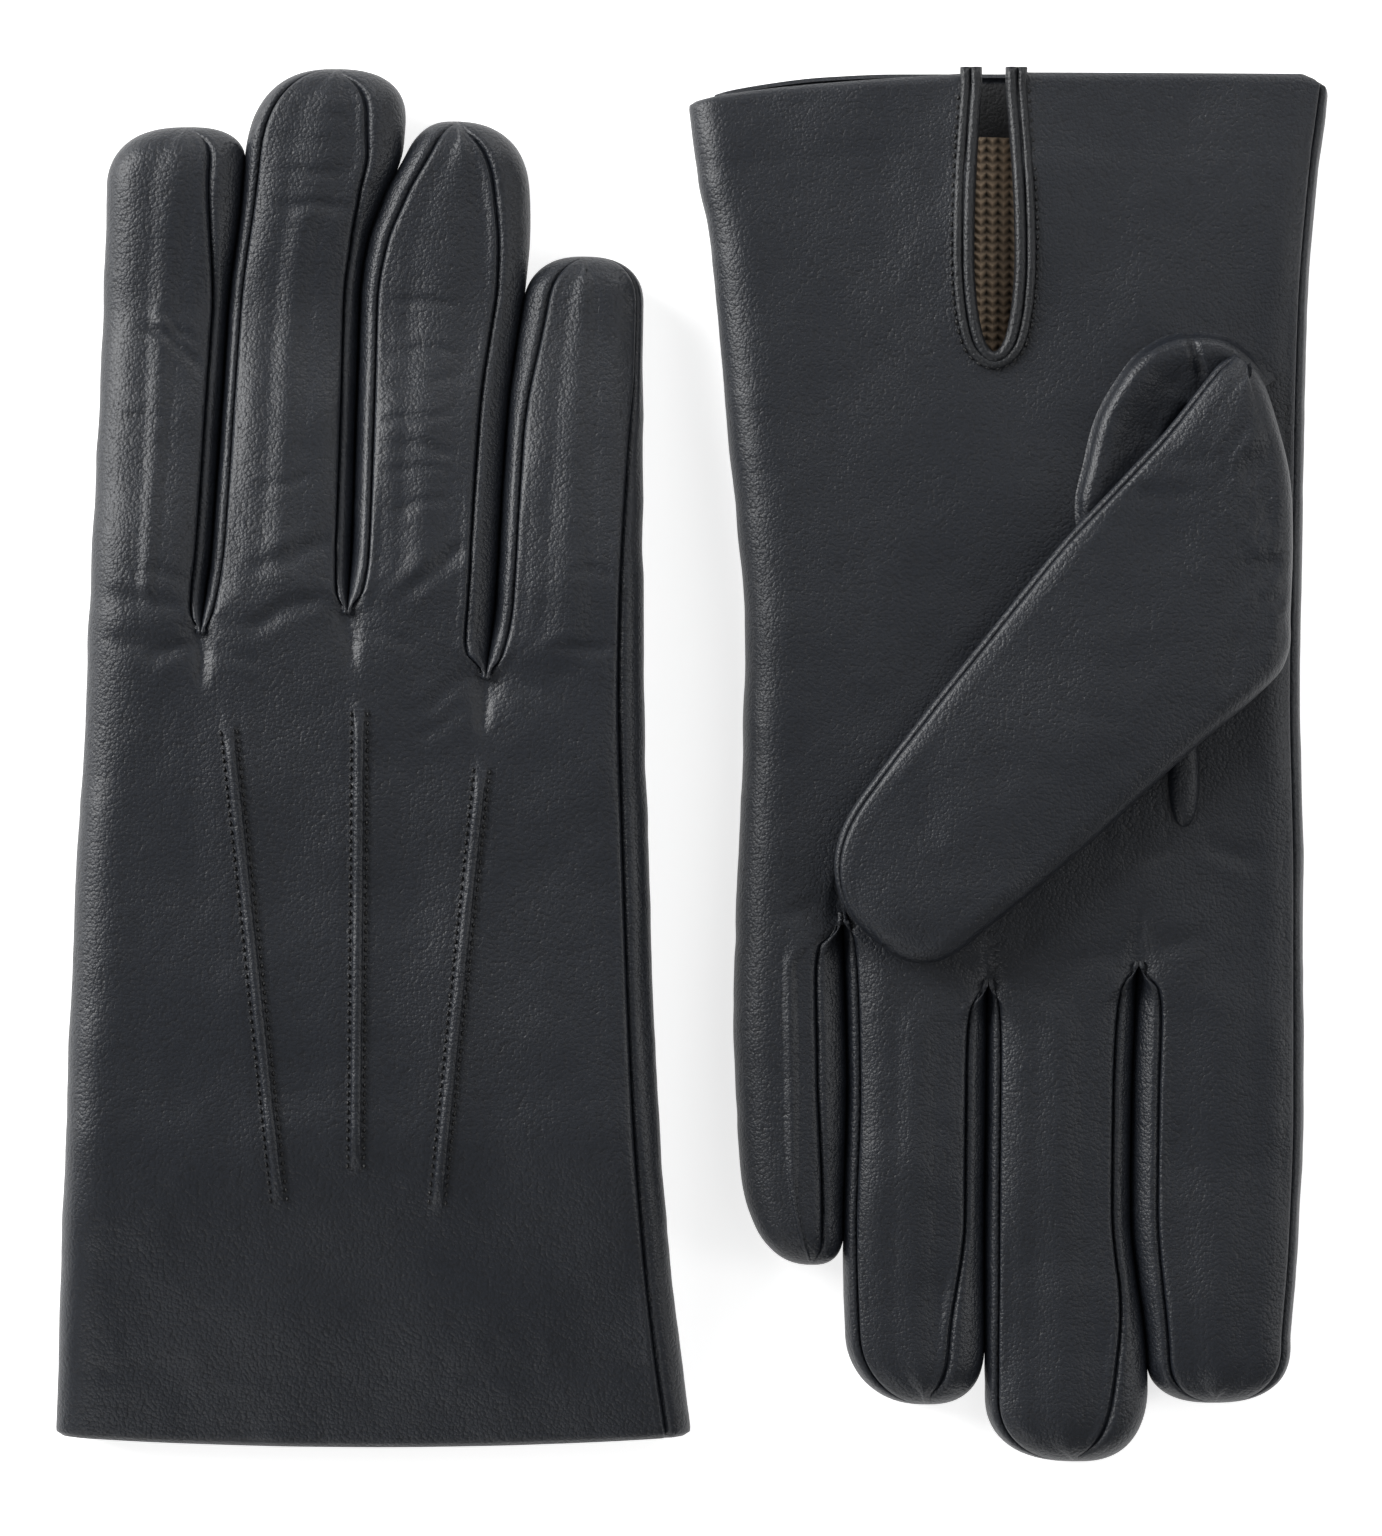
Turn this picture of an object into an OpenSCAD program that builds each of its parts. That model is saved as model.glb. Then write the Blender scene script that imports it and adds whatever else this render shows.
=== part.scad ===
// Pair of lined leather dress gloves laid flat side by side.
// The right glove lies back up with its fingers along +Y, and the left glove
// lies palm up with its fingers along -Y. Each thumb is folded across its palm.
// Every glove is drawn in one glove frame and then put in its place:
//   x runs from the index side (-) to the little side (+), y from the cuff edge
//   to the fingertips, and z from the palm side (low) to the back (high).

/* [Glove] */
// Length from the cuff edge to the tip of the middle finger
glove_length = 245; // [220:1:295]
// Width across the knuckles, laid flat
palm_width = 98; // [86:1:118]
// Thickness of the laid glove at the palm
hand_thick = 14.5; // [12:0.1:18]
// Thickness of the laid glove at the cuff edge
cuff_thick = 11.5; // [9.5:0.1:14]
// Thickness of a finger at its tip
tip_thick = 12.5; // [10:0.1:15]
// Thickness of the folded thumb
thumb_thick = 9; // [8.5:0.1:11]

/* [Leather and lining] */
// Thickness of the glove leather
leather = 0.8; // [0.6:0.05:1.1]
// Thickness of the knitted lining
lining = 1.1; // [0.8:0.05:1.4]
// Free space between two neighbouring fingers
finger_gap = 0.6; // [0.4:0.05:1]
// Free space between pieces that move against each other
running_gap = 0.3; // [0.25:0.01:0.4]

/* [Cuff and vent] */
// Depth of the leather turned in at the cuff
facing_depth = 12; // [9:0.5:15]
// Length of the palm vent from the cuff edge
vent_length = 48; // [38:1:52]
// Greatest width of the vent opening
vent_width = 7; // [5.5:0.1:8.5]
// Width of the flat strip sewn round the vent
binding_width = 2.6; // [2:0.1:3.4]
// Width of the rolled leather edge of the vent
edge_width = 1.4; // [1.1:0.1:1.8]

/* [Stitching] */
// Distance from one stitch to the next
stitch_pitch = 1.6; // [1.3:0.1:2.2]
// Length of one stitch
stitch_length = 1; // [0.8:0.05:1.2]
// Distance between the two rows of one raised point
point_row_gap = 3; // [2.4:0.1:3.8]

/* [Thumb] */
// Length of the thumb, from the end of its base to its tip
thumb_length = 112; // [94:1:130]
// Width of the folded thumb at its widest
thumb_width = 44; // [36:0.5:48]
// Half width of the thumb hole in the palm
thumb_hole_half_w = 9; // [7.5:0.5:11]
// Half length of the thumb hole in the palm
thumb_hole_half_l = 36; // [30:0.5:38]

/* [Pair] */
// Distance from the middle of the pair to the middle of each cuff
pair_half_pitch = 57; // [57:0.5:75]

/* [Hidden] */
gloves = ["left", "right"];
fingers = ["index", "middle", "ring", "little"];
hand_parts = ["back_panel", "palm_panel", "hand_lining", "cuff_facing", "vent_edge", "vent_binding",
              "vent_stitching", "point_stitching", "thumb_gusset", "thumb_front", "thumb_back",
              "thumb_lining"];
finger_parts = ["back", "palm", "fourchettes", "lining"];

charcoal = [0.15, 0.16, 0.18];
facing_black = [0.1, 0.11, 0.12];
knit_tan = [0.45, 0.37, 0.28];
thread_black = [0.06, 0.06, 0.07];

kx = palm_width / 98;                       // every width in the outline tables goes by this
ky = glove_length / 245;                    // every length in the outline tables goes by this
palm_z = thumb_thick + running_gap;         // palm surface, level with the top of the folded thumb
hand_top = palm_z + hand_thick;             // back surface over the palm
ramp_length = 55 * ky;                      // the cuff end slopes over this length
right_cuff_lift = 1;                        // room for the vent binding under the right cuff
sole_trim = 0.05;                           // skimmed off the left back, so that its sole is one plane
cuff_to_middle = 120.8 * ky;                // from the cuff edge to the middle of the pair, along y
vent_x = 3.3 * kx;                          // the vent lies a little towards the little side
web_slant = 12;                             // the forks reach further down on the back than on the palm

// Outline of each glove: x of the five edges that bound the four fingers, by distance
// from the cuff edge. First the outer edge of the index finger, last that of the little finger.
left_edges = [
  [[0, -57], [20, -54.6], [38, -53.2], [56, -52.7], [109, -51.8], [141, -52.4], [182, -52.4], [203, -51.8],
   [223, -50]],
  [[144, -23.4], [157, -22.7], [203, -22.2], [223, -24.3], [235, -25]],
  [[147, 3.6], [223, 3.9], [240, 2]],
  [[136, 30.9], [148, 30.2], [180, 29.2], [210, 30.3], [223, 29.3], [231, 26.4]],
  [[0, 56.9], [14, 55.4], [27, 53.8], [43, 52.1], [63, 50.5], [100, 47.8], [141, 48.8], [182, 49.5], [196, 47.7],
   [203, 45]]];
right_edges = [
  [[0, -57], [20, -55.3], [45, -54.5], [97, -52.4], [150, -49.9], [198, -48.5], [221, -46.9]],
  [[144, -29.7], [175, -27.2], [205, -24.6], [232, -22.2]],
  [[147, -3.8], [175, -2.9], [198, -2], [215, 0.5], [232, 5.5]],
  [[136, 20.6], [160, 23], [182, 24.6], [201, 26.3], [207, 28.2], [220, 28], [232, 25.8]],
  [[0, 57], [20, 54.2], [34, 53.1], [71, 50.8], [123, 48.8], [200, 48.7]]];
edge_tables = [left_edges, right_edges];
tip_y = [[235, 245.2, 235, 210.4], [234.8, 245.2, 236, 211.8]];
fork_y = [142, 144, 147.5, 136, 130];       // the finger bases at the back, at the five edges

// Angles of the seams round a finger or the hand, from the little side over the back
fork_seam = 55;
outseam = 65;
index_seam = 222;

function mix(a, b, t) = a + (b - a) * t;
function edge_x(g, j, y) = kx * lookup(y / ky, edge_tables[g][j]);
function thick(y) = lookup(y, [[0, cuff_thick], [ramp_length, hand_thick], [160 * ky, hand_thick],
                               [glove_length, tip_thick]]);
function right_lift(y) = lookup(y, [[0, right_cuff_lift], [ramp_length, palm_z], [160 * ky, palm_z],
                                    [205 * ky, 0]]);
function back_z(g, y) = g == 0 ? hand_top : right_lift(y) + thick(y);
function palm_z_at(g, y) = back_z(g, y) - thick(y);

// The slanted line of the finger bases at a point of the section
function base_y(g, x, z) = let (mid = 142 * ky, low = palm_z_at(g, mid), high = back_z(g, mid))
  ky * lookup(x, [for (j = [0:4]) [edge_x(g, j, fork_y[j] * ky), fork_y[j]]])
  + web_slant * max(0, min(1, (high - z) / (high - low)));

// A section is flat above and below with half-round sides. p = [angle, share across the flat].
function section_point(xl, xr, zc, b, off, p) =
  [mix(xr - b, xl + b, p[1]) + (b - off) * cos(p[0]), zc + (b - off) * sin(p[0])];

// Shell between an outer and an inner grid of points, each row by row along the glove
module shell(outer, inner, ring = false) {
  nr = len(outer);
  nc = len(outer[0]);
  last = ring ? nc : nc - 1;
  function o(i, k) = i * nc + k % nc;
  function n(i, k) = nr * nc + o(i, k);
  function quad(a, b, c, d) = [[a, b, c], [a, c, d]];
  walls = [for (i = [0:nr - 2]) for (k = [0:last - 1])
    each concat(quad(o(i, k), o(i, k + 1), o(i + 1, k + 1), o(i + 1, k)),
                quad(n(i, k), n(i + 1, k), n(i + 1, k + 1), n(i, k + 1)))];
  ends = [for (k = [0:last - 1])
    each concat(quad(o(0, k + 1), o(0, k), n(0, k), n(0, k + 1)),
                quad(o(nr - 1, k), o(nr - 1, k + 1), n(nr - 1, k + 1), n(nr - 1, k)))];
  sides = ring ? [] : [for (i = [0:nr - 2])
    each concat(quad(o(i, 0), o(i + 1, 0), n(i + 1, 0), n(i, 0)),
                quad(o(i, nc - 1), n(i, nc - 1), n(i + 1, nc - 1), o(i + 1, nc - 1)))];
  polyhedron(points = concat([for (r = outer) each r], [for (r = inner) each r]),
             faces = concat(walls, ends, sides));
}

// Puts a piece drawn in the glove frame in its place in the pair
module place(g) {
  if (g == 0)
    translate([pair_half_pitch, cuff_to_middle, hand_top]) rotate([0, 0, 180]) mirror([0, 0, 1]) children();
  else
    translate([-pair_half_pitch, -cuff_to_middle, 0]) children();
}

// Hand: rows along the glove, the last one along the finger bases
hand_rows = [0, facing_depth, ramp_length, 80 * ky, 105 * ky, 142 * ky];
function fork_share(g, j) = let (y = 142 * ky, b = thick(y) / 2, xl = edge_x(g, 0, y), xr = edge_x(g, 4, y))
  (xr - b - edge_x(g, j, fork_y[j] * ky)) / (xr - xl - 2 * b);
function flat_shares(g) = let (f = [0, fork_share(g, 3), fork_share(g, 2), fork_share(g, 1), 1])
  [for (i = [0:3]) each [f[i], (f[i] + f[i + 1]) / 2]];
function hand_point(g, y, last, p, off, extra = 0) =
  let (b = (thick(y) + extra) / 2, q = section_point(edge_x(g, 0, y), edge_x(g, 4, y),
       palm_z_at(g, y) + b, b, off, p))
  [q[0], last ? base_y(g, q[0], q[1]) : y, q[1]];
function hand_grid(g, rows, path, off, extra = 0) =
  [for (i = [0:len(rows) - 1]) [for (p = path)
    hand_point(g, rows[i], rows[i] == hand_rows[5], p, off, extra)]];
function back_path(g) = concat([[outseam, 0], [78, 0]], [for (f = flat_shares(g)) [90, f]],
  [for (a = [90, 112, 135, 157, 180, 201, index_seam]) [a, 1]]);
function palm_path(g) = let (f = flat_shares(g)) concat([for (a = [index_seam, 246]) [a, 1]],
  [[270, 1]], [for (i = [len(f) - 1:-1:0]) [270, f[i]]],
  [for (a = [292, 315, 337, 360, 380, 403, 360 + outseam]) [a, 0]]);
// The way round inside both panels: it shares the points of the seams between them
function closed_path(upper, lower) = concat(upper, [for (i = [1:len(lower) - 2]) lower[i]]);
function ring_path(g) = closed_path(back_path(g), palm_path(g));

// Teardrop outline of the vent, grown by d, with y from the cuff edge. It may start before that edge.
function vent_half(t) = t < 0.55
  ? mix(0.58, 1, sin(t / 0.55 * 90)) * vent_width / 2
  : sqrt(1 - pow((t - 0.55) / 0.45, 2)) * vent_width / 2;
module teardrop(d, start = 0) {
  side = [for (i = [0:14]) let (t = i / 14) [vent_half(t) + d, t * (vent_length + d)]];
  outline = concat(start < 0 ? [[side[0][0], start]] : [], side);
  polygon(concat(outline, [for (i = [len(outline) - 2:-1:0]) [-outline[i][0], outline[i][1]]]));
}
// Frame whose plane z = 0 is the sloping palm surface at the cuff, with z into the glove
module vent_frame(g) {
  rise = palm_z_at(g, ramp_length) - palm_z_at(g, 0);
  translate([vent_x, 0, palm_z_at(g, 0)]) rotate([atan(rise / ramp_length), 0, 0]) children();
}
module vent_cut(g, d) {
  vent_frame(g) translate([0, 0, -2]) linear_extrude(2 + hand_thick / 3) teardrop(d, -4);
}
// Oval hole through which the thumb passes, on the flat part of the palm
thumb_hole = [-31 * kx, ramp_length + 1 + thumb_hole_half_l];
module thumb_oval(d) {
  translate(thumb_hole) scale([(thumb_hole_half_w + d) / 10, (thumb_hole_half_l + d) / 10])
    circle(r = 10, $fn = 48);
}
module oval_cut(g, d) {
  translate([0, 0, palm_z - 1]) linear_extrude(1 + hand_thick / 3) thumb_oval(d);
}

module back_panel(g) {
  extra = g == 0 ? sole_trim : 0;
  color(charcoal) place(g) difference() {
    shell(hand_grid(g, hand_rows, back_path(g), 0, extra), hand_grid(g, hand_rows, back_path(g), leather));
    if (g == 0)
      translate([-palm_width, -glove_length / 2, hand_top]) cube([2 * palm_width, 2 * glove_length, 5]);
  }
}
module palm_panel(g) {
  color(charcoal) place(g) difference() {
    shell(hand_grid(g, hand_rows, palm_path(g), 0), hand_grid(g, hand_rows, palm_path(g), leather));
    vent_cut(g, edge_width);
    oval_cut(g, 0);
  }
}
module cuff_facing(g) {
  rows = [0, facing_depth - running_gap];
  color(facing_black) place(g) difference() {
    shell(hand_grid(g, rows, ring_path(g), leather), hand_grid(g, rows, ring_path(g), 2 * leather), true);
    vent_cut(g, edge_width);
  }
}
module hand_lining(g) {
  rows = [for (i = [1:5]) hand_rows[i]];
  color(knit_tan) place(g) difference() {
    shell(hand_grid(g, rows, ring_path(g), leather), hand_grid(g, rows, ring_path(g), leather + lining), true);
    vent_cut(g, edge_width);
    oval_cut(g, 0);
  }
}
// Rolled leather edge inside the vent, deep enough to bind leather and lining together
module vent_edge(g) {
  color(charcoal) place(g) vent_frame(g) translate([0, 0, -0.9]) linear_extrude(0.9 + leather + lining)
    difference() {
      teardrop(edge_width);
      translate([0, -0.01]) teardrop(0);
    }
}
module vent_binding(g) {
  color(charcoal) place(g) vent_frame(g) translate([0, 0, -0.7]) linear_extrude(0.7) difference() {
    teardrop(edge_width + binding_width);
    translate([0, -0.01]) teardrop(edge_width);
  }
}
module stitch(at, turn) {
  translate(at) rotate([0, 0, turn]) cube([0.45, stitch_length, 0.5], center = true);
}
module vent_stitching(g) {
  d = edge_width + binding_width * 0.7;
  count = floor(vent_length * 0.94 / stitch_pitch);
  color(thread_black) place(g) vent_frame(g) for (side = [-1, 1], i = [1:count]) {
    t = i * stitch_pitch / vent_length;
    stitch([side * (vent_half(t) + d), t * (vent_length + d), -0.6], side * (t > 0.7 ? (t - 0.7) * 80 : 0));
  }
}
// The three raised points on the back: lower and upper end of each, in the glove frame
point_lines = [[[-16.2, 45], [-25.1, 127.7]], [[-2.6, 50], [-1.9, 131]], [[11.7, 43.6], [19.7, 120.2]]];
module point_stitching(g) {
  depth = g == 0 ? 0.25 : 0.05;             // pressed flush on the glove that lies on its back
  color(thread_black) place(g) for (line = point_lines, side = [-1, 1]) {
    low = [line[0][0] * kx, line[0][1] * ky];
    high = [line[1][0] * kx, line[1][1] * ky];
    run = norm(high - low);
    turn = -atan((high[0] - low[0]) / (high[1] - low[1]));
    for (i = [0:floor(run / stitch_pitch)]) {
      at = mix(low, high, i * stitch_pitch / run);
      stitch([at[0] + side * point_row_gap / 2, at[1], back_z(g, at[1]) - depth], turn);
    }
  }
}
// Welt that finishes the thumb hole, level with the palm leather
module thumb_gusset(g) {
  color(charcoal) place(g) translate([0, 0, palm_z]) linear_extrude(leather + lining) difference() {
    thumb_oval(-0.05);
    thumb_oval(-2.2);
  }
}

// Fingers: the shaft runs from the finger base to where the rounded tip starts
shaft_steps = 5;
tip_steps = 4;
tip_angle = 84;
function tip_run(j) = j == 3 ? 9 : 10;
function finger_point(g, j, i, p, off) =
  let (y1 = tip_y[g][j] * ky - tip_run(j), y0 = (fork_y[j] + fork_y[j + 1]) / 2 * ky + web_slant / 2,
       s = min(i / shaft_steps, 1), a = max(0, i - shaft_steps) / tip_steps * tip_angle,
       y = mix(y0, y1, s), b = thick(y) / 2, zc = palm_z_at(g, y) + b,
       in = min(off, b * 0.98), bt = max(b * cos(a), 0.6), corner = 6 * (1 - cos(a)),
       xl = edge_x(g, j, y) + finger_gap / 2 + corner, xr = edge_x(g, j + 1, y) - finger_gap / 2 - corner,
       shrink = off == 0 ? 0 : min(in, bt - 0.05),
       q = section_point(xl, xr, zc, bt, shrink, p))
  [q[0], i > shaft_steps ? y1 + (tip_run(j) - off) * sin(a) / sin(tip_angle)
         : mix(base_y(g, q[0], q[1]) + running_gap, y1, s), q[1]];
function finger_grid(g, j, path, off) =
  [for (i = [0:shaft_steps + tip_steps]) [for (p = path) finger_point(g, j, i, p, off)]];
module finger_shell(g, j, path, off, wall, ring = false) {
  shell(finger_grid(g, j, path, off), finger_grid(g, j, path, off + wall), ring);
}
flat_top = [[90, 0], [90, 0.5], [90, 1]];
flat_bottom = [[270, 1], [270, 0.5], [270, 0]];
function finger_back_path(j) = concat(j == 3 ? [[outseam, 0]] : [[fork_seam, 0], [72, 0]], flat_top,
  j == 0 ? [for (a = [115, 147, 180, 201, index_seam]) [a, 1]] : [[108, 1], [180 - fork_seam, 1]]);
function finger_palm_path(j) = concat(j == 0 ? [[index_seam, 1], [246, 1]] : [[180 + fork_seam, 1], [252, 1]],
  flat_bottom,
  j == 3 ? [for (a = [295, 327, 360, 392, 360 + outseam]) [a, 0]] : [[288, 0], [360 - fork_seam, 0]]);
// A side strip, turned to the little side (0) or to the index side (180) of its finger
function strip_path(turn) = [for (a = [-1, -1 / 3, 1 / 3, 1]) [turn + a * fork_seam, turn / 180]];
// The index and little fingers have one side strip each, and the two between have two
function index_strip(j) = j > 0 ? strip_path(180) : [];
function little_strip(j) = j < 3 ? strip_path(0) : [];
module finger_back(g, j) {
  color(charcoal) place(g) finger_shell(g, j, finger_back_path(j), 0, leather);
}
module finger_palm(g, j) {
  color(charcoal) place(g) finger_shell(g, j, finger_palm_path(j), 0, leather);
}
module finger_fourchettes(g, j) {
  color(charcoal) place(g) for (strip = [index_strip(j), little_strip(j)])
    if (len(strip) > 0) finger_shell(g, j, strip, 0, leather);
}
function inner_points(strip) = len(strip) > 0 ? [strip[1], strip[2]] : [];
module finger_lining(g, j) {
  lower = finger_palm_path(j);
  first = j == 0 ? 1 : 0;                     // seams without a strip are shared by both panels
  last = len(lower) - (j == 3 ? 2 : 1);
  path = concat(finger_back_path(j), inner_points(index_strip(j)), [for (i = [first:last]) lower[i]],
                inner_points(little_strip(j)));
  color(knit_tan) place(g) finger_shell(g, j, path, leather, lining, true);
}

// Thumb: a flat tube folded across the palm, drawn along +y from its base to its tip.
// Its two edges, by distance along it: the one towards the index side, and the other.
thumb_edges = [
  [[-6, -9], [1, -17.7], [10, -25.5], [20, -32.4], [29, -37.2], [48, -33.8], [74, -29], [101, -22.5]],
  [[-6, 4.2], [20, 5.8], [50, 8], [73, 8.6], [91, 8.3], [101, 6.5]]];
thumb_base = [[-35.5 * kx, 58 * ky], [-34 * kx, 61 * ky]];
thumb_turn = [-37, -34];                    // its direction, turned from +y towards the little side
thumb_reach = [1, 0.86];                    // the thumb under the right palm is pushed up shorter
thumb_stations = [-6, 1, 10, 20, 29, 48, 58, 74, 101];
thumb_mouth = 58;                           // the inner leather starts at this station, past the hole
base_run = 4;                               // length of the rounded base end
end_run = 10;                               // length of the rounded tip
function thumb_point(g, v, a, p, off) =
  let (kl = thumb_length / 112 * thumb_reach[g], kw = thumb_width / 44 * (g == 0 ? 1 : 0.92), b = thumb_thick / 2,
       in = min(off, b * 0.98), bt = max(b * cos(a), 0.6), shrink = off == 0 ? 0 : min(in, bt - 0.05),
       inset = (v < 0 ? 2 : 7) * (1 - cos(a)), dir = v < 0 ? -1 : 1, run = dir < 0 ? base_run : end_run,
       q = section_point(kw * lookup(v, thumb_edges[0]) + inset, kw * lookup(v, thumb_edges[1]) - inset,
           b, bt, shrink, p))
  [q[0], kl * v + dir * (run - off) * sin(a) / sin(tip_angle), q[1]];
function thumb_rows(whole) = concat(whole ? [for (i = [3:-1:1]) [thumb_stations[0], i * tip_angle / 3]] : [],
  [for (v = thumb_stations) if (whole || v >= thumb_mouth) [v, 0]], [for (i = [1:3]) [101, i * tip_angle / 3]]);
module thumb_place(g) {
  translate([thumb_base[g][0], thumb_base[g][1], 0]) rotate([0, 0, thumb_turn[g]]) children();
}
module thumb_shell(g, whole, path, off, wall, ring = false) {
  rows = thumb_rows(whole);
  thumb_place(g) shell([for (r = rows) [for (p = path) thumb_point(g, r[0], r[1], p, off)]],
                       [for (r = rows) [for (p = path) thumb_point(g, r[0], r[1], p, off + wall)]], ring);
}
thumb_seam = 40;
thumb_front_path = concat([for (a = [180 - thumb_seam, 165, 195, 232]) [a, 1]], flat_bottom,
                          [for (a = [308, 345, 375, 360 + thumb_seam]) [a, 0]]);
thumb_back_path = concat([[thumb_seam, 0], [65, 0]], flat_top, [[115, 1], [180 - thumb_seam, 1]]);
module thumb_front(g) {
  color(charcoal) place(g) thumb_shell(g, true, thumb_front_path, 0, leather);
}
module thumb_back(g) {
  color(charcoal) place(g) thumb_shell(g, false, thumb_back_path, 0, leather);
}
module thumb_lining(g) {
  color(knit_tan) place(g) difference() {
    thumb_shell(g, true, closed_path(thumb_back_path, thumb_front_path), leather, lining, true);
    thumb_place(g) translate([-thumb_width, -20, thumb_thick / 2])
      cube([2 * thumb_width, thumb_mouth * thumb_length / 112 * thumb_reach[g] + 20, thumb_thick]);
  }
}

for (g = [0, 1]) {
  back_panel(g);
  palm_panel(g);
  hand_lining(g);
  cuff_facing(g);
  vent_edge(g);
  vent_binding(g);
  vent_stitching(g);
  point_stitching(g);
  thumb_gusset(g);
  thumb_front(g);
  thumb_back(g);
  thumb_lining(g);
  for (j = [0:3]) {
    finger_back(g, j);
    finger_palm(g, j);
    finger_fourchettes(g, j);
    finger_lining(g, j);
  }
}
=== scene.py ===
import math

import bmesh
import bpy
import numpy as np
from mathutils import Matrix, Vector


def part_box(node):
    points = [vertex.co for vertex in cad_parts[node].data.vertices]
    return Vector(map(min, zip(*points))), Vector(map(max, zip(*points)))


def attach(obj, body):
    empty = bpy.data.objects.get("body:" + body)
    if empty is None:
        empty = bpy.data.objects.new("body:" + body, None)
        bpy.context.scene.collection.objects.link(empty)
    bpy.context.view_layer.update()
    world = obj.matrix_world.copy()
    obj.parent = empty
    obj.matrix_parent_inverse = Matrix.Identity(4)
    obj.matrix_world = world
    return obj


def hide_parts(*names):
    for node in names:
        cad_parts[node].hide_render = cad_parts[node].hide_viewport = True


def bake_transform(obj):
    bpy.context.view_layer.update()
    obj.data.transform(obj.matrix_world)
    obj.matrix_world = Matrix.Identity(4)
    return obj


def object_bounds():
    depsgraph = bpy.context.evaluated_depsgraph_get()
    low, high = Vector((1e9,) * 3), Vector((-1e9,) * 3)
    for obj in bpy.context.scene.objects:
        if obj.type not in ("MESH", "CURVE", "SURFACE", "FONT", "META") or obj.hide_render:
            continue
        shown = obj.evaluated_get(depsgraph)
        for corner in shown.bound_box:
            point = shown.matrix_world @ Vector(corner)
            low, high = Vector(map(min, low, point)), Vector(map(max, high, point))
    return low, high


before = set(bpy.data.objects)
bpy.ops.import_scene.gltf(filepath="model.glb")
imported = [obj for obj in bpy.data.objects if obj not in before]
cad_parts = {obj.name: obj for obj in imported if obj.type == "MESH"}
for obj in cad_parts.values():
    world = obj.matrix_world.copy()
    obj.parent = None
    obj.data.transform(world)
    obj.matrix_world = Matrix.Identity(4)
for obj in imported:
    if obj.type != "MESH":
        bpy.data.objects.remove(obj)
cadLow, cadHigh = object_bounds()
mm = 0.001
gloves = ("left", "right")
fingers = ("index", "middle", "ring", "little")

# Lengths are in millimetres. Glove frame: x from the index side to the little side, y from the
# cuff to the fingertips, z from the palm to the back. The left glove (g = 0) lies palm up, the
# right one (g = 1) back up.
facingLow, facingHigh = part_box("left_cuff_facing")
pairHalf = (facingLow.x + facingHigh.x) / 2 / mm
cuffY = facingHigh.y / mm
handTop = cadHigh.z / mm
palmZ = 9.3  # height of the right palm over the floor, on top of its thumb
webSlant = 12.0  # the forks reach this much further down on the back than on the palm
forkY = (142, 144, 147.5, 136, 130)
bulge = 2.4  # how square the rounded sides are
fingerGap = 0.03  # between a finger and the line it shares with the next one
crownHeight = 0.5  # swell along the middle of a finger

# (y, x) points of the index edge, the three lines between the fingers and the little edge
edges = (
    (
        ((0, -57), (20, -54.6), (40, -53), (70, -52.2), (109, -51.6), (141, -52.2), (182, -52.2),
         (205, -51.4), (223, -50)),
        ((0, -28.5), (144, -23.4), (157, -22.4), (180, -21.4), (200, -21.2), (225, -24), (245, -25)),
        ((0, 0), (147, 3.9), (165, 4.5), (216, 4.9), (245, 4.4)),
        ((0, 28.5), (136, 31.4), (150, 30.2), (180, 29.5), (205, 30.2), (222, 29.8), (240, 27)),
        ((0, 58), (14, 56), (27, 54), (43, 52.3), (63, 50.6), (98, 47.7), (125, 48.3), (160, 49.7),
         (185, 49.2), (215, 46)),
    ),
    (
        ((0, -57), (25, -55.8), (61, -54.2), (97, -52.7), (132, -50.9), (168, -49.5), (204, -48.4),
         (235, -47.4)),
        ((0, -28.5), (144, -30), (160, -28.4), (186, -26.9), (204, -25.8), (222, -23.6), (245, -22)),
        ((0, 0), (147, -4.1), (160, -3.6), (186, -2.9), (204, -2.5), (214, -1.2), (222, 1.6), (231, 5.2),
         (245, 6.2)),
        ((0, 28.5), (136, 20.5), (150, 22), (168, 23), (186, 24.2), (197, 25.7), (207, 27.2), (217, 28),
         (236, 27)),
        ((0, 57), (16, 54.8), (34, 52.9), (60, 51), (106, 49.2), (141, 48.3), (205, 48.2)),
    ),
)
# Fingertips: y of the end, x of its middle, then how far the rounding reaches down on the
# index side and on the little side
tips = (
    ((234.9, -36, 11, 8), (245.4, -12, 17, 12), (235.2, 15, 12, 13), (210.2, 35.5, 6, 18)),
    ((235, -33, 11, 7), (245.4, -7, 17, 10), (236, 14, 13, 13), (211.8, 37.5, 9, 9)),
)


def hermite(xs, ys, slopes, at):
    # Cubic pieces through the points, with the given slope at each
    k = np.clip(np.searchsorted(xs, at, side="right") - 1, 0, len(xs) - 2)
    h = xs[k + 1] - xs[k]
    t = (at - xs[k]) / h
    low = (1 + 2 * t) * (1 - t) ** 2 * ys[k] + t * (1 - t) ** 2 * h * slopes[k]
    return low + t * t * (3 - 2 * t) * ys[k + 1] + t * t * (t - 1) * h * slopes[k + 1]


def curve(points, at):
    # Cubics whose slope at each point is the harmonic mean of the straight slopes beside it
    xs, ys = np.array(points, float).T
    slopes = np.diff(ys) / np.diff(xs)
    before, after = slopes[:-1], slopes[1:]
    same = before * after > 0
    inner = np.where(same, 2 * before * after / np.where(same, before + after, 1), 0)
    tangents = np.concatenate([slopes[:1], inner, slopes[-1:]])
    return hermite(xs, ys, tangents, np.clip(at, xs[0], xs[-1]))


def smooth(t):
    # Step from 0 to 1 with level ends
    t = np.clip(t, 0, 1)
    return t * t * (3 - 2 * t)


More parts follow.
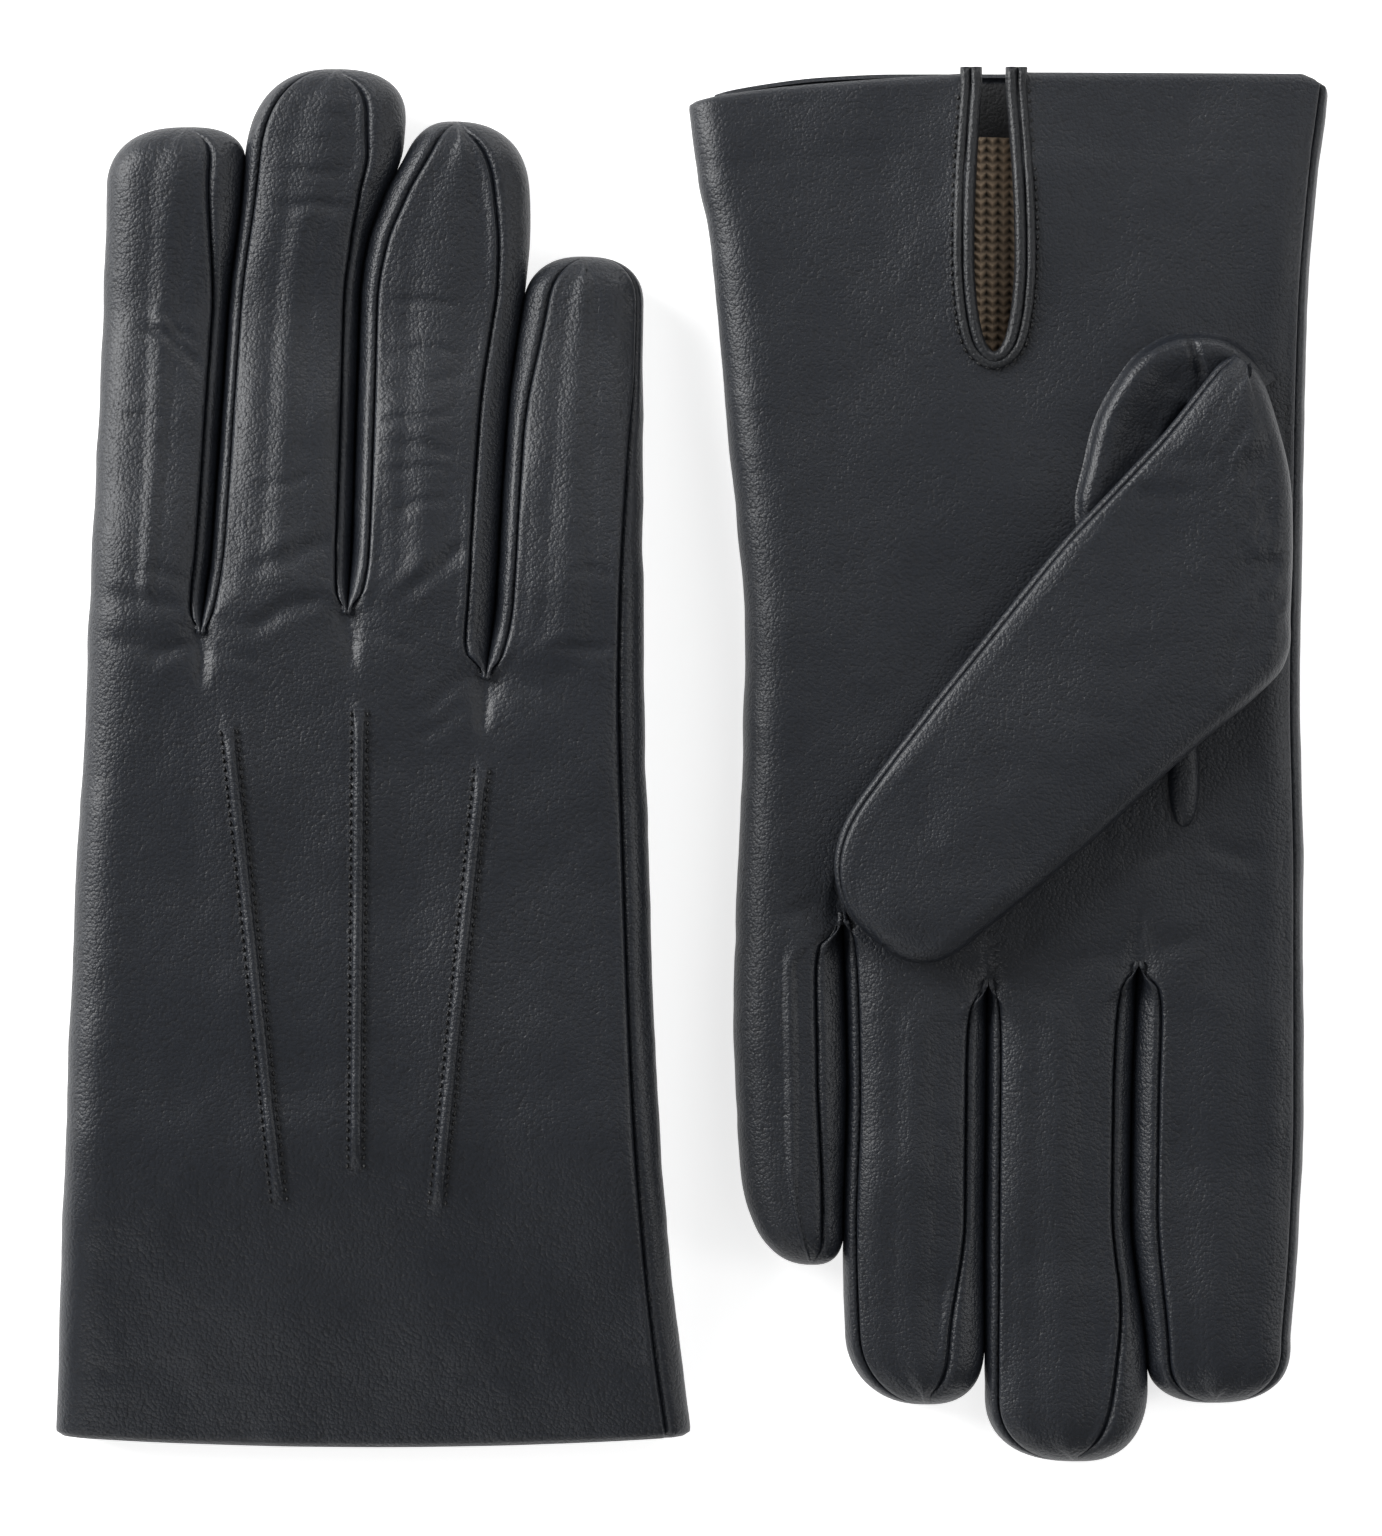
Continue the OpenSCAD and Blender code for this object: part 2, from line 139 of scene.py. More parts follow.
def noise(x, y, cell, seed):
    # Random heights from -1 to 1 on a square lattice, joined by smooth steps
    table = np.random.default_rng(seed).random((64, 64)) * 2 - 1
    fx, fy = x / cell, y / cell
    i, j = np.floor(fx).astype(int), np.floor(fy).astype(int)
    tx, ty = smooth(fx - i), smooth(fy - j)
    i0, i1, j0, j1 = i % 64, (i + 1) % 64, j % 64, (j + 1) % 64
    low = table[i0, j0] * (1 - tx) + table[i1, j0] * tx
    high = table[i0, j1] * (1 - tx) + table[i1, j1] * tx
    return low * (1 - ty) + high * ty


def around(t):
    # Point of the unit squared circle |x|^n + |z|^n = 1 at angle t in degrees
    c, s = np.cos(np.radians(t)), np.sin(np.radians(t))
    return np.sign(c) * np.abs(c) ** (2 / bulge), np.sign(s) * np.abs(s) ** (2 / bulge)


def toWorld(g, p):
    # From a glove's frame in millimetres to the scene in metres
    if g == 0:
        return np.stack([pairHalf - p[..., 0], cuffY - p[..., 1], handTop - p[..., 2]], -1) * mm
    return np.stack([p[..., 0] - pairHalf, p[..., 1] - cuffY, p[..., 2]], -1) * mm


def thickAt(y):
    return curve(((0, 10.6), (30, 13.4), (60, 14.5), (160, 14.5), (215, 13.4), (245, 12.5)), y)


def midZ(g, y):
    if g == 0:
        return handTop - thickAt(y) / 2
    lift = curve(((0, 0.6), (28, 5.6), (58, palmZ), (150, palmZ), (180, 4.6), (205, 0.2), (250, 0.2)), y)
    return lift + thickAt(y) / 2


def capShare(y, tip, run):
    # Share of the full width left at y: a superellipse over the last run millimetres before tip
    return (1 - np.clip((y - tip + run) / run, 0, 1) ** 2.5) ** (1 / 2.5)


# Seam insets from a finger's outline, by side, finger and edge: along the shaft, and what the tip adds
seamInsets = {
    ("back", 0, 1): (2.3, 3.6), ("back", 1, 0): (2.1, 0.6), ("back", 1, 1): (2.3, 4.4),
    ("back", 2, 0): (3.1, 1.2), ("back", 2, 1): (4.6, 1.6), ("back", 3, 0): (3.0, 1.4),
    ("palm", 0, 1): (4.5, -0.8), ("palm", 1, 0): (3.2, 3.4), ("palm", 1, 1): (2.2, -0.4),
    ("palm", 2, 0): (3.4, 3.2), ("palm", 2, 1): (2.0, 0.2), ("palm", 3, 0): (5.2, -1.6),
}


def cornerAngle(inset, corner):
    # Angle round a rounded side of that radius where its surface is inset from the outline
    share = np.clip(1 - inset / np.maximum(corner, 0.1), 0.08, 0.995)
    return np.degrees(np.arccos(share ** (bulge / 2)))


def seamAngle(side, j, edge, y, corner):
    # A finger seam moves in over the first few millimetres past its fork, and again at the tip
    base, more = seamInsets[side, j, edge]
    start = forkY[j + edge] + (webSlant if side == "palm" else 0)
    tip = tips[0 if side == "palm" else 1][j][0]
    inset = base * (1 - np.exp(-np.clip(y - start, 0, 200) / 3)) + more * smooth((y - tip + 34) / 26)
    return cornerAngle(inset, corner)


def outseamAngle(y, corner):
    # The long seam on the little side of the back: it nears the edge along the little finger
    inset = curve(((0, 4.5), (128, 4.4), (150, 4), (177, 2.4), (192, 1.2), (212, 0.8)), y)
    return cornerAngle(inset, corner)


indexSeam = 221.0  # angle of the seam on the index side, just round on the palm


def pastFork(k, y, slant, run):
    # Step from 0 at fork k to 1 at run millimetres past it; always 1 on the two outer edges
    return smooth((y - forkY[k] - slant) / run) if 0 < k < 4 else 1 + 0 * y


def column(g, j, y, theta, share):
    # Point of finger column j: flat above and below, with squared-circle sides whose radius
    # grows from nothing at a fork. Returns x, z, the outward normal and each side's radius.
    ct, st = around(theta)
    tip, tipX, runL, runR = tips[g][j]
    slant = webSlant * (1 - st) / 2
    xl, xr = curve(edges[g][j], y), curve(edges[g][j + 1], y)
    half = thickAt(y) / 2
    sideL, sideR = pastFork(j, y, slant, 9), pastFork(j + 1, y, slant, 9)
    xl = xl + fingerGap * pastFork(j, y, slant, 5) * (j > 0)
    xr = xr - fingerGap * pastFork(j + 1, y, slant, 5) * (j < 3)
    xl = tipX - (tipX - xl) * capShare(y, tip, runL)
    xr = tipX + (xr - tipX) * capShare(y, tip, runR)
    half = half * capShare(y, tip, 9.5)
    room = 0.46 * (xr - xl)
    outer = thickAt(y) / 2 + 1.2
    radL = np.minimum(outer * sideL + 0.001, room)
    radR = np.minimum(outer * sideR + 0.001, room)
    radius = np.where(ct >= 0, radR, radL)
    x = xr - radR + (xl + radL - xr + radR) * share + radius * ct
    crown = crownHeight * sideL * sideR * (1 - (2 * share - 1) ** 2) ** 2 * capShare(y, tip, 14)
    z = midZ(g, y) + half * st + crown * np.sign(st) * (np.abs(st) > 0.999)
    ux, uz = np.cos(np.radians(theta)), np.sin(np.radians(theta))
    return x, z, (ux, uz), (radL, radR)


def baseLine(j, theta, share):
    # y at which finger j starts, at a point of its section
    fork = forkY[j + 1] + (forkY[j] - forkY[j + 1]) * share
    return fork + webSlant * (1 - around(theta)[1]) / 2


# Creases pressed into the leather: x, y of both ends, width, depth
creases = {
    (1, "back"): (
        (-41, 201, -29, 190, 1.1, 0.30), (-43, 198, -31, 197, 1.0, 0.22), (-38, 203, -30, 194, 0.9, 0.2),
        (-45, 183, -36, 182, 1.2, 0.22), (-49, 151, -31, 149, 1.7, 0.35), (-47, 143, -33, 141, 2.0, 0.42),
        (-40, 156, -31, 153, 1.2, 0.2), (-19, 221, -3, 219, 1.2, 0.32), (-16, 239, -4, 236, 1.0, 0.22),
        (-17, 233, -3, 231, 1.0, 0.25), (-18, 227, -4, 226.5, 0.9, 0.2), (-5, 161, -22, 155, 1.6, 0.42),
        (-6, 151, -24, 145, 1.8, 0.45), (-9, 172, -22, 170, 1.2, 0.18), (3, 204, 17, 202, 1.0, 0.26),
        (2, 195, 15, 194, 1.0, 0.26), (1, 189, 17, 190, 1.0, 0.22), (1, 182, 16, 183, 1.1, 0.28),
        (3, 178, 17, 176, 1.0, 0.24), (2, 173, 16, 174, 0.9, 0.2), (2, 166, 15, 168, 1.1, 0.2),
        (18, 160, 5, 150, 1.6, 0.4), (19, 137, 9, 130, 1.3, 0.34), (18, 133, 8, 125, 1.5, 0.22),
        (22, 138, 30, 133, 1.4, 0.25), (31, 142, 43, 141, 1.3, 0.25), (35, 156, 44, 154, 1.1, 0.16),
        (20, 134, 19.5, 126, 1.1, 0.45), (-4, 145, -4, 137, 1.1, 0.4), (-30, 142, -30, 135, 1.2, 0.4),
        (-31, 143, -40, 138, 1.6, 0.3), (-28, 142, -19, 138, 1.5, 0.26), (-2, 146, 8, 141, 1.5, 0.2),
    ),
    (0, "palm"): (
        (31, 146, 30, 138, 1.3, 0.35), (4, 158, 4, 151, 1.3, 0.35), (-22, 154, -23, 146, 1.3, 0.35),
        (29, 146, 18, 150, 2.0, 0.25), (33, 146, 42, 148, 2.0, 0.22), (-20, 154, -8, 156, 2.0, 0.22),
        (-25, 154, -36, 151, 2.2, 0.25), (6, 157, 14, 155, 1.8, 0.2), (-30, 134, -18, 139, 2.0, 0.3),
        (-33, 134, -45, 138, 2.0, 0.3), (-47, 60, -44, 90, 2.5, 0.35), (-20, 100, -30, 120, 3.0, 0.3),
    ),
}


def besideLine(x, y, x0, y0, x1, y1):
    # How far along a straight line a point is, from 0 to 1, and its distance from the line
    dx, dy = x1 - x0, y1 - y0
    t = np.clip(((x - x0) * dx + (y - y0) * dy) / (dx * dx + dy * dy), 0, 1)
    return t, np.hypot(x - x0 - t * dx, y - y0 - t * dy)


def creaseDepth(g, side, x, y):
    # Sum of round-bottomed grooves; each fades out towards its ends and wanders a little
    total = np.zeros_like(x)
    for n, (x0, y0, x1, y1, width, depth) in enumerate(creases.get((g, side), ())):
        wx = x + 0.9 * noise(x, y, 5, 40 + n)
        wy = y + 0.9 * noise(x, y, 5, 90 + n)
        t, gap = besideLine(wx, wy, x0, y0, x1, y1)
        fade = smooth(t / 0.25) * smooth((1 - t) / 0.25) + 0.15
        groove = np.exp(-((gap / width) ** 2)) - 0.45 * np.exp(-((gap / width / 2.2) ** 2))
        total = total + 1.5 * depth * fade * groove
    return total


def cuffEdge(g, side, x):
    # How far each layer's cuff edge is from the straight line y = 0
    if g == 0 and side == "palm":
        return curve(((-58, 1), (-55.5, -1.6), (-52, -2.8), (0, -3), (8, -2.7), (20, -2), (34, -1),
                      (48, 0.4), (58, 2)), x)
    if g == 0:
        return curve(((-58, 1), (-55.5, -1.8), (-52, -3), (0, -3.3), (20, -3.3), (34, -2.7),
                      (48, -0.8), (58, 1.6)), x)
    return -1.0 + 1.9 * (x / 57) ** 2


def valleys(g, side, x, y):
    # Dips that run up to each fork between two fingers
    total = np.zeros_like(x)
    for k in (1, 2, 3):
        fork = forkY[k] + (webSlant if side == "palm" else 0)
        reach = 17 if side == "back" else 11
        near = smooth((y - fork + reach) / reach) ** 2 * (1 - smooth((y - fork) / 7))
        gap = x - curve(edges[g][k], y)
        total = total + near * (0.8 * np.exp(-((gap / 2.4) ** 2)) + 0.5 * np.exp(-((gap / 6) ** 2)))
    return total


# Ends of the three raised points on the back
pointLines = (((-16.2, 43), (-25.1, 127.7)), ((-2.6, 49), (-1.9, 131)), ((11.7, 42.5), (19.7, 120.2)))


def pointSwell(x, y):
    # The leather rises gently beside each raised point and dips along its stitch rows
    total = np.zeros_like(x)
    for (x0, y0), (x1, y1) in pointLines:
        t = (y - y0) / (y1 - y0)
        gap = np.abs(x - x0 - (x1 - x0) * t)
        live = smooth((t + 0.02) / 0.05) * smooth((1.05 - t) / 0.08)
        swell = 0.35 * np.exp(-((gap / 1.2) ** 2)) - 0.16 * np.exp(-(((gap - 1.7) / 0.8) ** 2))
        total = total + live * swell
        total = total + live * 0.22 * np.exp(-((gap / 5) ** 2))
    return total


surface = dict(
    seamDepth=0.65, seamWidth=0.36, seamRidge=0.12, hem=1.3, hemLine=13.2, wave=0.55, ripple=0.18,
)


def seamShape(gap):
    # Groove at a seam with a low ridge beside it, by distance from the seam
    groove = surface["seamDepth"] * np.exp(-((gap / surface["seamWidth"]) ** 2))
    return surface["seamRidge"] * np.exp(-(((gap - 1.2) / 0.7) ** 2)) - groove


def relief(g, side, x, y, flat, first, last):
    # Height added along the normal: waves, creases, valleys, seams at both edges and the rolled hem.
    # first and last are (distance from the edge, strength) of the seam at each end of a row.
    part = 10 * g + (5 if side == "back" else 0)
    out = surface["wave"] * (1.5 - 0.5 * g) * noise(x, y, 24 - 4 * g, 1 + part) * flat
    out = out + surface["ripple"] * noise(x, y, 8, 2 + part)
    out = out + 0.05 * noise(x, y, 3.1, 3 + part)
    out = out * (1 - np.exp(-((np.minimum(first[0], last[0]) / 1.4) ** 2)))
    out = out - creaseDepth(g, side, x, y) * (0.3 + 0.7 * flat) - valleys(g, side, x, y) * flat
    if side == "back":
        out = out + pointSwell(x, y) * flat
    for gap, strength in (first, last):
        out = out + strength * seamShape(gap)
    drop = np.clip(surface["hem"] - y, 0, surface["hem"])
    out = out - (surface["hem"] - np.sqrt(surface["hem"] ** 2 - drop ** 2))
    if (g == 0) == (side == "back"):  # the side that lies on the floor
        out = np.minimum(out, 0.1)
    hemDip = np.exp(-(((y - surface["hemLine"] + noise(x, y, 30, 9)) / 1.8) ** 2))
    return out - 0.1 * hemDip * flat


def edgeGaps(x, z):
    # Distance along each row from its first and from its last point
    step = np.hypot(np.diff(x, axis=1), np.diff(z, axis=1))
    run = np.concatenate([np.zeros((len(x), 1)), np.cumsum(step, 1)], 1)
    return run, run[:, -1:] - run


def gridQuads(rows, cols, closed):
    # Corner numbers of every quad of a grid of points, wrapping round its columns if closed
    index = np.arange(rows * cols).reshape(rows, cols)
    if closed:
        index = np.concatenate([index, index[:, :1]], 1)
    return np.stack([index[:-1, :-1], index[1:, :-1], index[1:, 1:], index[:-1, 1:]], -1)


def pole(row):
    # A row with all its points at the middle of the given one; they merge into one point
    return np.repeat(row.mean(0)[None], len(row), 0)[None]


def makeMesh(name, g, points, closed=False, skip=None, solid=False, facing=None):
    # Rows run along the glove and columns round it, so row x column points outwards. A solid
    # is turned inside out if its signed volume is negative, and an open surface with a known
    # facing if its mean normal points the other way.
    rows, cols = points.shape[:2]
    quads = gridQuads(rows, cols, closed)
    quads = quads[~skip] if skip is not None else quads.reshape(-1, 4)
    flat = toWorld(g, points).reshape(-1, 3)
    turn = g == 0
    p = flat[quads] - flat.mean(0)
    if solid:
        turn = np.einsum("ij,ij->", p[:, 0], np.cross(p[:, 1], p[:, 2])) < 0
    if facing is not None:
        turn = np.cross(p[:, 2] - p[:, 0], p[:, 3] - p[:, 1]).sum(0) @ np.array(facing) < 0
    if turn:
        quads = quads[:, ::-1]
    rim = np.zeros((rows, cols), np.int32)
    rim[0] = rim[-1] = 1
    return meshFrom(name, flat, quads, rim.ravel())


def meshFrom(name, flat, quads, rim):
    # Points that coincide are merged; edges along the open first and last rows are marked sharp
    mesh = bpy.data.meshes.new(name)
    mesh.vertices.add(len(flat))
    mesh.vertices.foreach_set("co", flat.astype(np.float32).ravel())
    mesh.loops.add(quads.size)
    mesh.loops.foreach_set("vertex_index", quads.astype(np.int32).ravel())
    mesh.polygons.add(len(quads))
    mesh.polygons.foreach_set("loop_start", np.arange(0, quads.size, 4, dtype=np.int32))
    mesh.update(calc_edges=True)
    mesh.attributes.new("rim", "INT", "POINT").data.foreach_set("value", rim)
    work = bmesh.new()
    work.from_mesh(mesh)
    bmesh.ops.remove_doubles(work, verts=work.verts, dist=2e-6)
    work.to_mesh(mesh)
    work.free()
    mesh.polygons.foreach_set("use_smooth", np.ones(len(mesh.polygons), bool))
    flags = np.zeros(len(mesh.vertices), np.int32)
    mesh.attributes["rim"].data.foreach_get("value", flags)
    used = np.zeros(len(mesh.loops), np.int32)
    mesh.loops.foreach_get("edge_index", used)
    ends = np.zeros(len(mesh.edges) * 2, np.int32)
    mesh.edges.foreach_get("vertices", ends)
    loose = np.bincount(used, minlength=len(mesh.edges)) == 1
    sharp = loose & (flags[ends.reshape(-1, 2)].min(1) > 0)
    layer = mesh.attributes.get("sharp_edge") or mesh.attributes.new("sharp_edge", "BOOLEAN", "EDGE")
    layer.data.foreach_set("value", sharp)
    mesh.attributes.remove(mesh.attributes["rim"])
    mesh.update()
    obj = bpy.data.objects.new(name, mesh)
    bpy.context.scene.collection.objects.link(obj)
    return obj


def finish(obj, skin, node, wall=0.0):
    # Gives a piece its wall, inwards from its surface, and its material, and hides the CAD node it stands
    # for
    material, slot = skin
    if wall > 0:
        solid = obj.modifiers.new("wall", "SOLIDIFY")
        solid.thickness = wall * mm
        solid.offset = -1
    obj.data.materials.append(material)
    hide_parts(node)
    return obj


print("shapes ready")


class Wire:
    # One shader socket, with sums and products that add Math nodes
    def __init__(self, paint, socket):
        self.paint = paint
        self.socket = socket

    def maths(self, operation, first, second):
        return self.paint.node("ShaderNodeMath", dict(operation=operation), first, second)

    def __add__(self, other):
        return self.maths("ADD", self, other)

    def __sub__(self, other):
        return self.maths("SUBTRACT", self, other)

    def __mul__(self, other):
        return self.maths("MULTIPLY", self, other)

    def __rsub__(self, other):
        return self.maths("SUBTRACT", other, self)

    __radd__ = __add__
    __rmul__ = __mul__


class Paint:
    # A material's node tree, with one method that adds any node
    def __init__(self, name):
        self.material = bpy.data.materials.new(name)
        self.material.use_nodes = True
        self.tree = self.material.node_tree
        self.tree.nodes.clear()
        out = self.tree.nodes.new("ShaderNodeOutputMaterial")
        self.shader = self.tree.nodes.new("ShaderNodeBsdfPrincipled")
        self.tree.links.new(self.shader.outputs[0], out.inputs[0])

    def node(self, kind, settings, *values, out=0, **named):
        new = self.tree.nodes.new(kind)
        for key, value in settings.items():
            if key == "stops":
                for stop, (place, grey) in zip(new.color_ramp.elements, value):
                    stop.position = place
                    stop.color = (grey, grey, grey, 1)
            else:
                setattr(new, key, value)
        for key, value in list(enumerate(values)) + list(named.items()):
            self.put(new.inputs[key], value)
        return Wire(self, new.outputs[out])

    def put(self, socket, value):
        if isinstance(value, Wire):
            self.tree.links.new(value.socket, socket)
        else:
            socket.default_value = value

    def coords(self, scale=(1, 1, 1), turn=0.0):
        place = self.node("ShaderNodeTexCoord", {}, out=3)  # Object coordinates
        return self.node("ShaderNodeMapping", {}, Vector=place, Scale=scale, Rotation=(0, 0, turn))

    def mixColour(self, share, low, high):
        mixed = self.node("ShaderNodeMix", dict(data_type="RGBA"), out=2)
        new = mixed.socket.node
        self.put(new.inputs[0], share)
        self.put(new.inputs[6], low)
        self.put(new.inputs[7], high)
        return mixed

    def noise(self, coords, scale, detail):
        return self.node("ShaderNodeTexNoise", {}, Vector=coords, Scale=scale, Detail=detail)

    def finish(self, colour, roughness, height, distance, strength=1.0):
        # The three things that change over a surface: its colour, its roughness and its bumps
        bumps = self.node("ShaderNodeBump", {}, Strength=strength, Distance=distance, Height=height)
        self.put(self.shader.inputs["Base Color"], colour)
        self.put(self.shader.inputs["Roughness"], roughness)
        self.put(self.shader.inputs["Normal"], bumps)
        return self.material


def leather(name, look):
    # Pebbles are domes on the cells of a Voronoi pattern: one less the squared distance to the
    # nearest cell point. Broad soft noise varies the roughness, and so the sheen, and how proud they
    # stand. The colour is painted shade: lighter on the pebble tops, darker in the lines between them.
    paint = Paint(name)
    here = paint.coords()
    rumple = paint.noise(here, 300, 2)
    cells = paint.node("ShaderNodeTexVoronoi", dict(feature="F1"), Vector=here, Scale=look["grain"])
    small = paint.node("ShaderNodeTexVoronoi", dict(feature="F1"), Vector=here, Scale=look["grain"] * 1.9)
    pebble = 1 - cells * cells
    finer = 1 - small * small
    broad = paint.noise(here, 36, 2)
    patch = paint.node("ShaderNodeValToRGB", dict(stops=((0.34, look["least"]), (0.66, 1.0))), broad)
    height = (pebble + finer * 0.45) * patch + rumple * 0.6
    # Painted shade: the colour darkens into the hollows between the pebbles
    pebbleShade = paint.mixColour(pebble * pebble, look["dark"], look["light"])
    return paint.finish(pebbleShade, broad * 0.14 + (look["rough"] - 0.02) - pebble * 0.05, height, look["depth"])


def knit(name, look):
    # Ribs run along the glove, and each rib is a chain of leaning loops: a triangle wave across,
    # with a sine along it whose phase the triangle wave shifts
    paint = Paint(name)
    place = paint.coords(scale=(1000 / look["rib"], 1000 / look["loop"], 1))
    across = paint.node("ShaderNodeSeparateXYZ", {}, place)
    along = Wire(paint, across.socket.node.outputs[1])
    rib = paint.node("ShaderNodeMath", dict(operation="PINGPONG"), across, 0.5)
    loops = paint.node("ShaderNodeMath", dict(operation="SINE"), along * 6.2832 + rib * 6.0)
    fuzz = paint.noise(paint.coords(), 2600, 3)
    height = rib * 1.1 + loops * 0.22 + fuzz * 0.3
    # Painted shade: the colour follows the height, near black in the grooves between ribs and loops and
    # light on their crowns
    colour = paint.mixColour(height, look["dark"], look["light"])
    return paint.finish(colour, fuzz * 0.15 + 0.8, height, 0.0006, 0.9)


def thread(name, look):
    # Slanting bands of a wave texture stand for the twisted strands
    paint = Paint(name)
    twist = paint.node("ShaderNodeTexWave", {}, Vector=paint.coords(turn=0.6), Scale=900, Distortion=1.0)
    # Painted shade: the colour follows the bands of the bumps, darker in the grooves between the strands
    # and lighter on them
    colour = paint.mixColour(twist, look["dark"], look["light"])
    return paint.finish(colour, twist * 0.15 + 0.5, twist, 0.0001, 0.6)


# grain is pebbles per metre, depth their height in metres, least how far they fade in places
# In every leather look, dark is the painted shade between the pebbles and light the colour on their tops
leatherLook = dict(
    grain=1600, depth=0.00012, least=0.5, rough=0.43,
    dark=(0.0045, 0.0058, 0.009, 1), light=(0.0115, 0.0142, 0.02, 1),
)
smoothLook = dict(leatherLook, grain=1750, depth=0.00011, least=0.6)
bindingLook = dict(
    smoothLook, rough=0.42,
    dark=(0.006, 0.0068, 0.0085, 1), light=(0.011, 0.0125, 0.0155, 1),
)
facingLook = dict(
    smoothLook, rough=0.62,
    dark=(0.004, 0.0045, 0.0055, 1), light=(0.008, 0.0088, 0.0105, 1),
)
grainLeather = leather("grain_leather", leatherLook), "glove_leather"
smoothLeather = leather("smooth_leather", smoothLook), "glove_leather"
bindingLeather = leather("binding_leather", bindingLook), "binding_leather"
facingLeather = leather("facing_leather", facingLook), "facing_leather"
# dark is the painted shade in the grooves of the knit, light the yarn on its crowns
knitLook = dict(rib=2.1, loop=1.6, dark=(0.02, 0.014, 0.009, 1), light=(0.62, 0.47, 0.33, 1))
knitRib = knit("rib_knit", knitLook), "knit_lining"
# dark is the painted shade between the thread's strands, light their crowns
threadLook = dict(dark=(0.001, 0.001, 0.0012, 1), light=(0.006, 0.006, 0.007, 1))
blackThread = thread("black_thread", threadLook), "thread"
skins = dict(back=(grainLeather, grainLeather), palm=(smoothLeather, grainLeather))
print("materials ready")

panel = dict(flatColumns=34, cornerColumns=15, handRows=190, shaftRows=125, capRows=22, thickness=0.8)


def panelColumns(side, start, end, ends):
    # Angle and share of every column of a panel: a rounded side, the flat, another rounded side.
    # start and end are the angles of its two seams in every row; ends says which sides it has.
    c, f = np.linspace(0, 1, panel["cornerColumns"]), np.linspace(0, 1, panel["flatColumns"])
    middle, near, far = (90.0, 0.0, 1.0) if side == "back" else (270.0, 1.0, 0.0)
    still = 0 * start[:, None]
    first = 1 if ends[0] else 0
    theta = [middle + 0 * f[first:] + still]
    share = [near + (far - near) * f[first:] + still]
    if ends[0]:
        theta.insert(0, start[:, None] + (middle - start[:, None]) * c)
        share.insert(0, near + 0 * c + still)
    if ends[1]:
        theta.append(middle + (end[:, None] - middle) * c[1:])
        share.append(far + 0 * c[1:] + still)
    return np.concatenate(theta, 1), np.concatenate(share, 1)


def turned(side, edge, theta):
    # From the angle above (or below) the middle of a side to the angle round the section
    if side == "back":
        return theta if edge == 1 else 180 - theta
    return 360 - theta if edge == 1 else 180 + theta


def rowHeights(j, g):
    # y where the round tip starts, and its rows, which close up towards the end as a sine does
    tip, _, runL, runR = tips[g][j]
    run = max(runL, runR, 9.5)
    quarter = np.linspace(0, np.pi / 2, panel["capRows"])[1:]
    return tip - run, tip - run + run * np.sin(quarter)


def fingerRows(g, side, j, theta, share):
    # y of every point: straight down the shaft from the slanted base line, then the round tip
    shaftEnd, capY = rowHeights(j, g)
    v = np.concatenate([np.linspace(0, 1, panel["shaftRows"]), 1 + 0 * capY])
    tipY = np.concatenate([np.full(panel["shaftRows"], shaftEnd), capY])
    if np.ndim(theta) > 1:
        v, tipY = v[:, None], tipY[:, None]
    base = baseLine(j, theta, share)
    return np.where(v < 1, base + (shaftEnd - base) * v, tipY)


def seamRows(g, side, j, edge):
    # Angle of a seam in every row. The angle sets y and the radius, and they set the angle, so
    # the three are worked out again a few times.
    share = 1.0 - edge
    theta = np.full(panel["shaftRows"] + panel["capRows"] - 1, 75.0)
    for _ in range(5):
        t = turned(side, edge, theta)
        y = fingerRows(g, side, j, t, share)
        theta = seamAngle(side, j, edge, y, column(g, j, y, t, share + 0 * t)[3][edge])
    return theta


def outerRows(g, side, j, y):
    # Angle of the long seam on the little side, a full turn on for the palm
    angle = outseamAngle(y, column(g, j, y, 0 * y, 0 * y)[3][1])
    return angle + (360 if side == "palm" else 0)


def fingerPanel(g, side, j):
    # One leather of a finger: its section at every row, moved out along the normal by the relief
    shaftEnd, capY = rowHeights(j, g)
    fork = (forkY[j] + forkY[j + 1]) / 2
    middleY = np.concatenate([fork + (shaftEnd - fork) * np.linspace(0, 1, panel["shaftRows"]), capY])
    index = indexSeam + 0 * middleY if j == 0 else turned(side, 0, seamRows(g, side, j, 0))
    little = turned(side, 1, seamRows(g, side, j, 1)) if j < 3 else outerRows(g, side, j, middleY)
    start, end = (little, index) if side == "back" else (index, little)
    theta, share = panelColumns(side, start, end, (True, True))
    y = fingerRows(g, side, j, theta, share)
    x, z, (ux, uz), _ = column(g, j, y, theta, share)
    first, last = edgeGaps(x, z)
    grow0, grow1 = seamGrowth(side, j, y)
    flat = np.abs(around(theta)[1]) ** 2
    calm = smooth((tips[g][j][0] - y) / 5)
    add = relief(g, side, x, y, flat, (first, grow0), (last, grow1)) * calm
    return np.stack([x + add * ux, y, z + add * uz], -1)


def seamGrowth(side, j, y):
    # Strength of the seam grooves at the first and the last column: none at a fork, full beyond it
    slant = webSlant if side == "palm" else 0
    little, index = pastFork(j + 1, y, slant, 4), pastFork(j, y, slant, 4)
    return (little, index) if side == "back" else (index, little)


vent = dict(x=3.3, length=47.5, width=7.4, ends=(3.8, 1.0))  # ends: how far the rolls pass y = 0


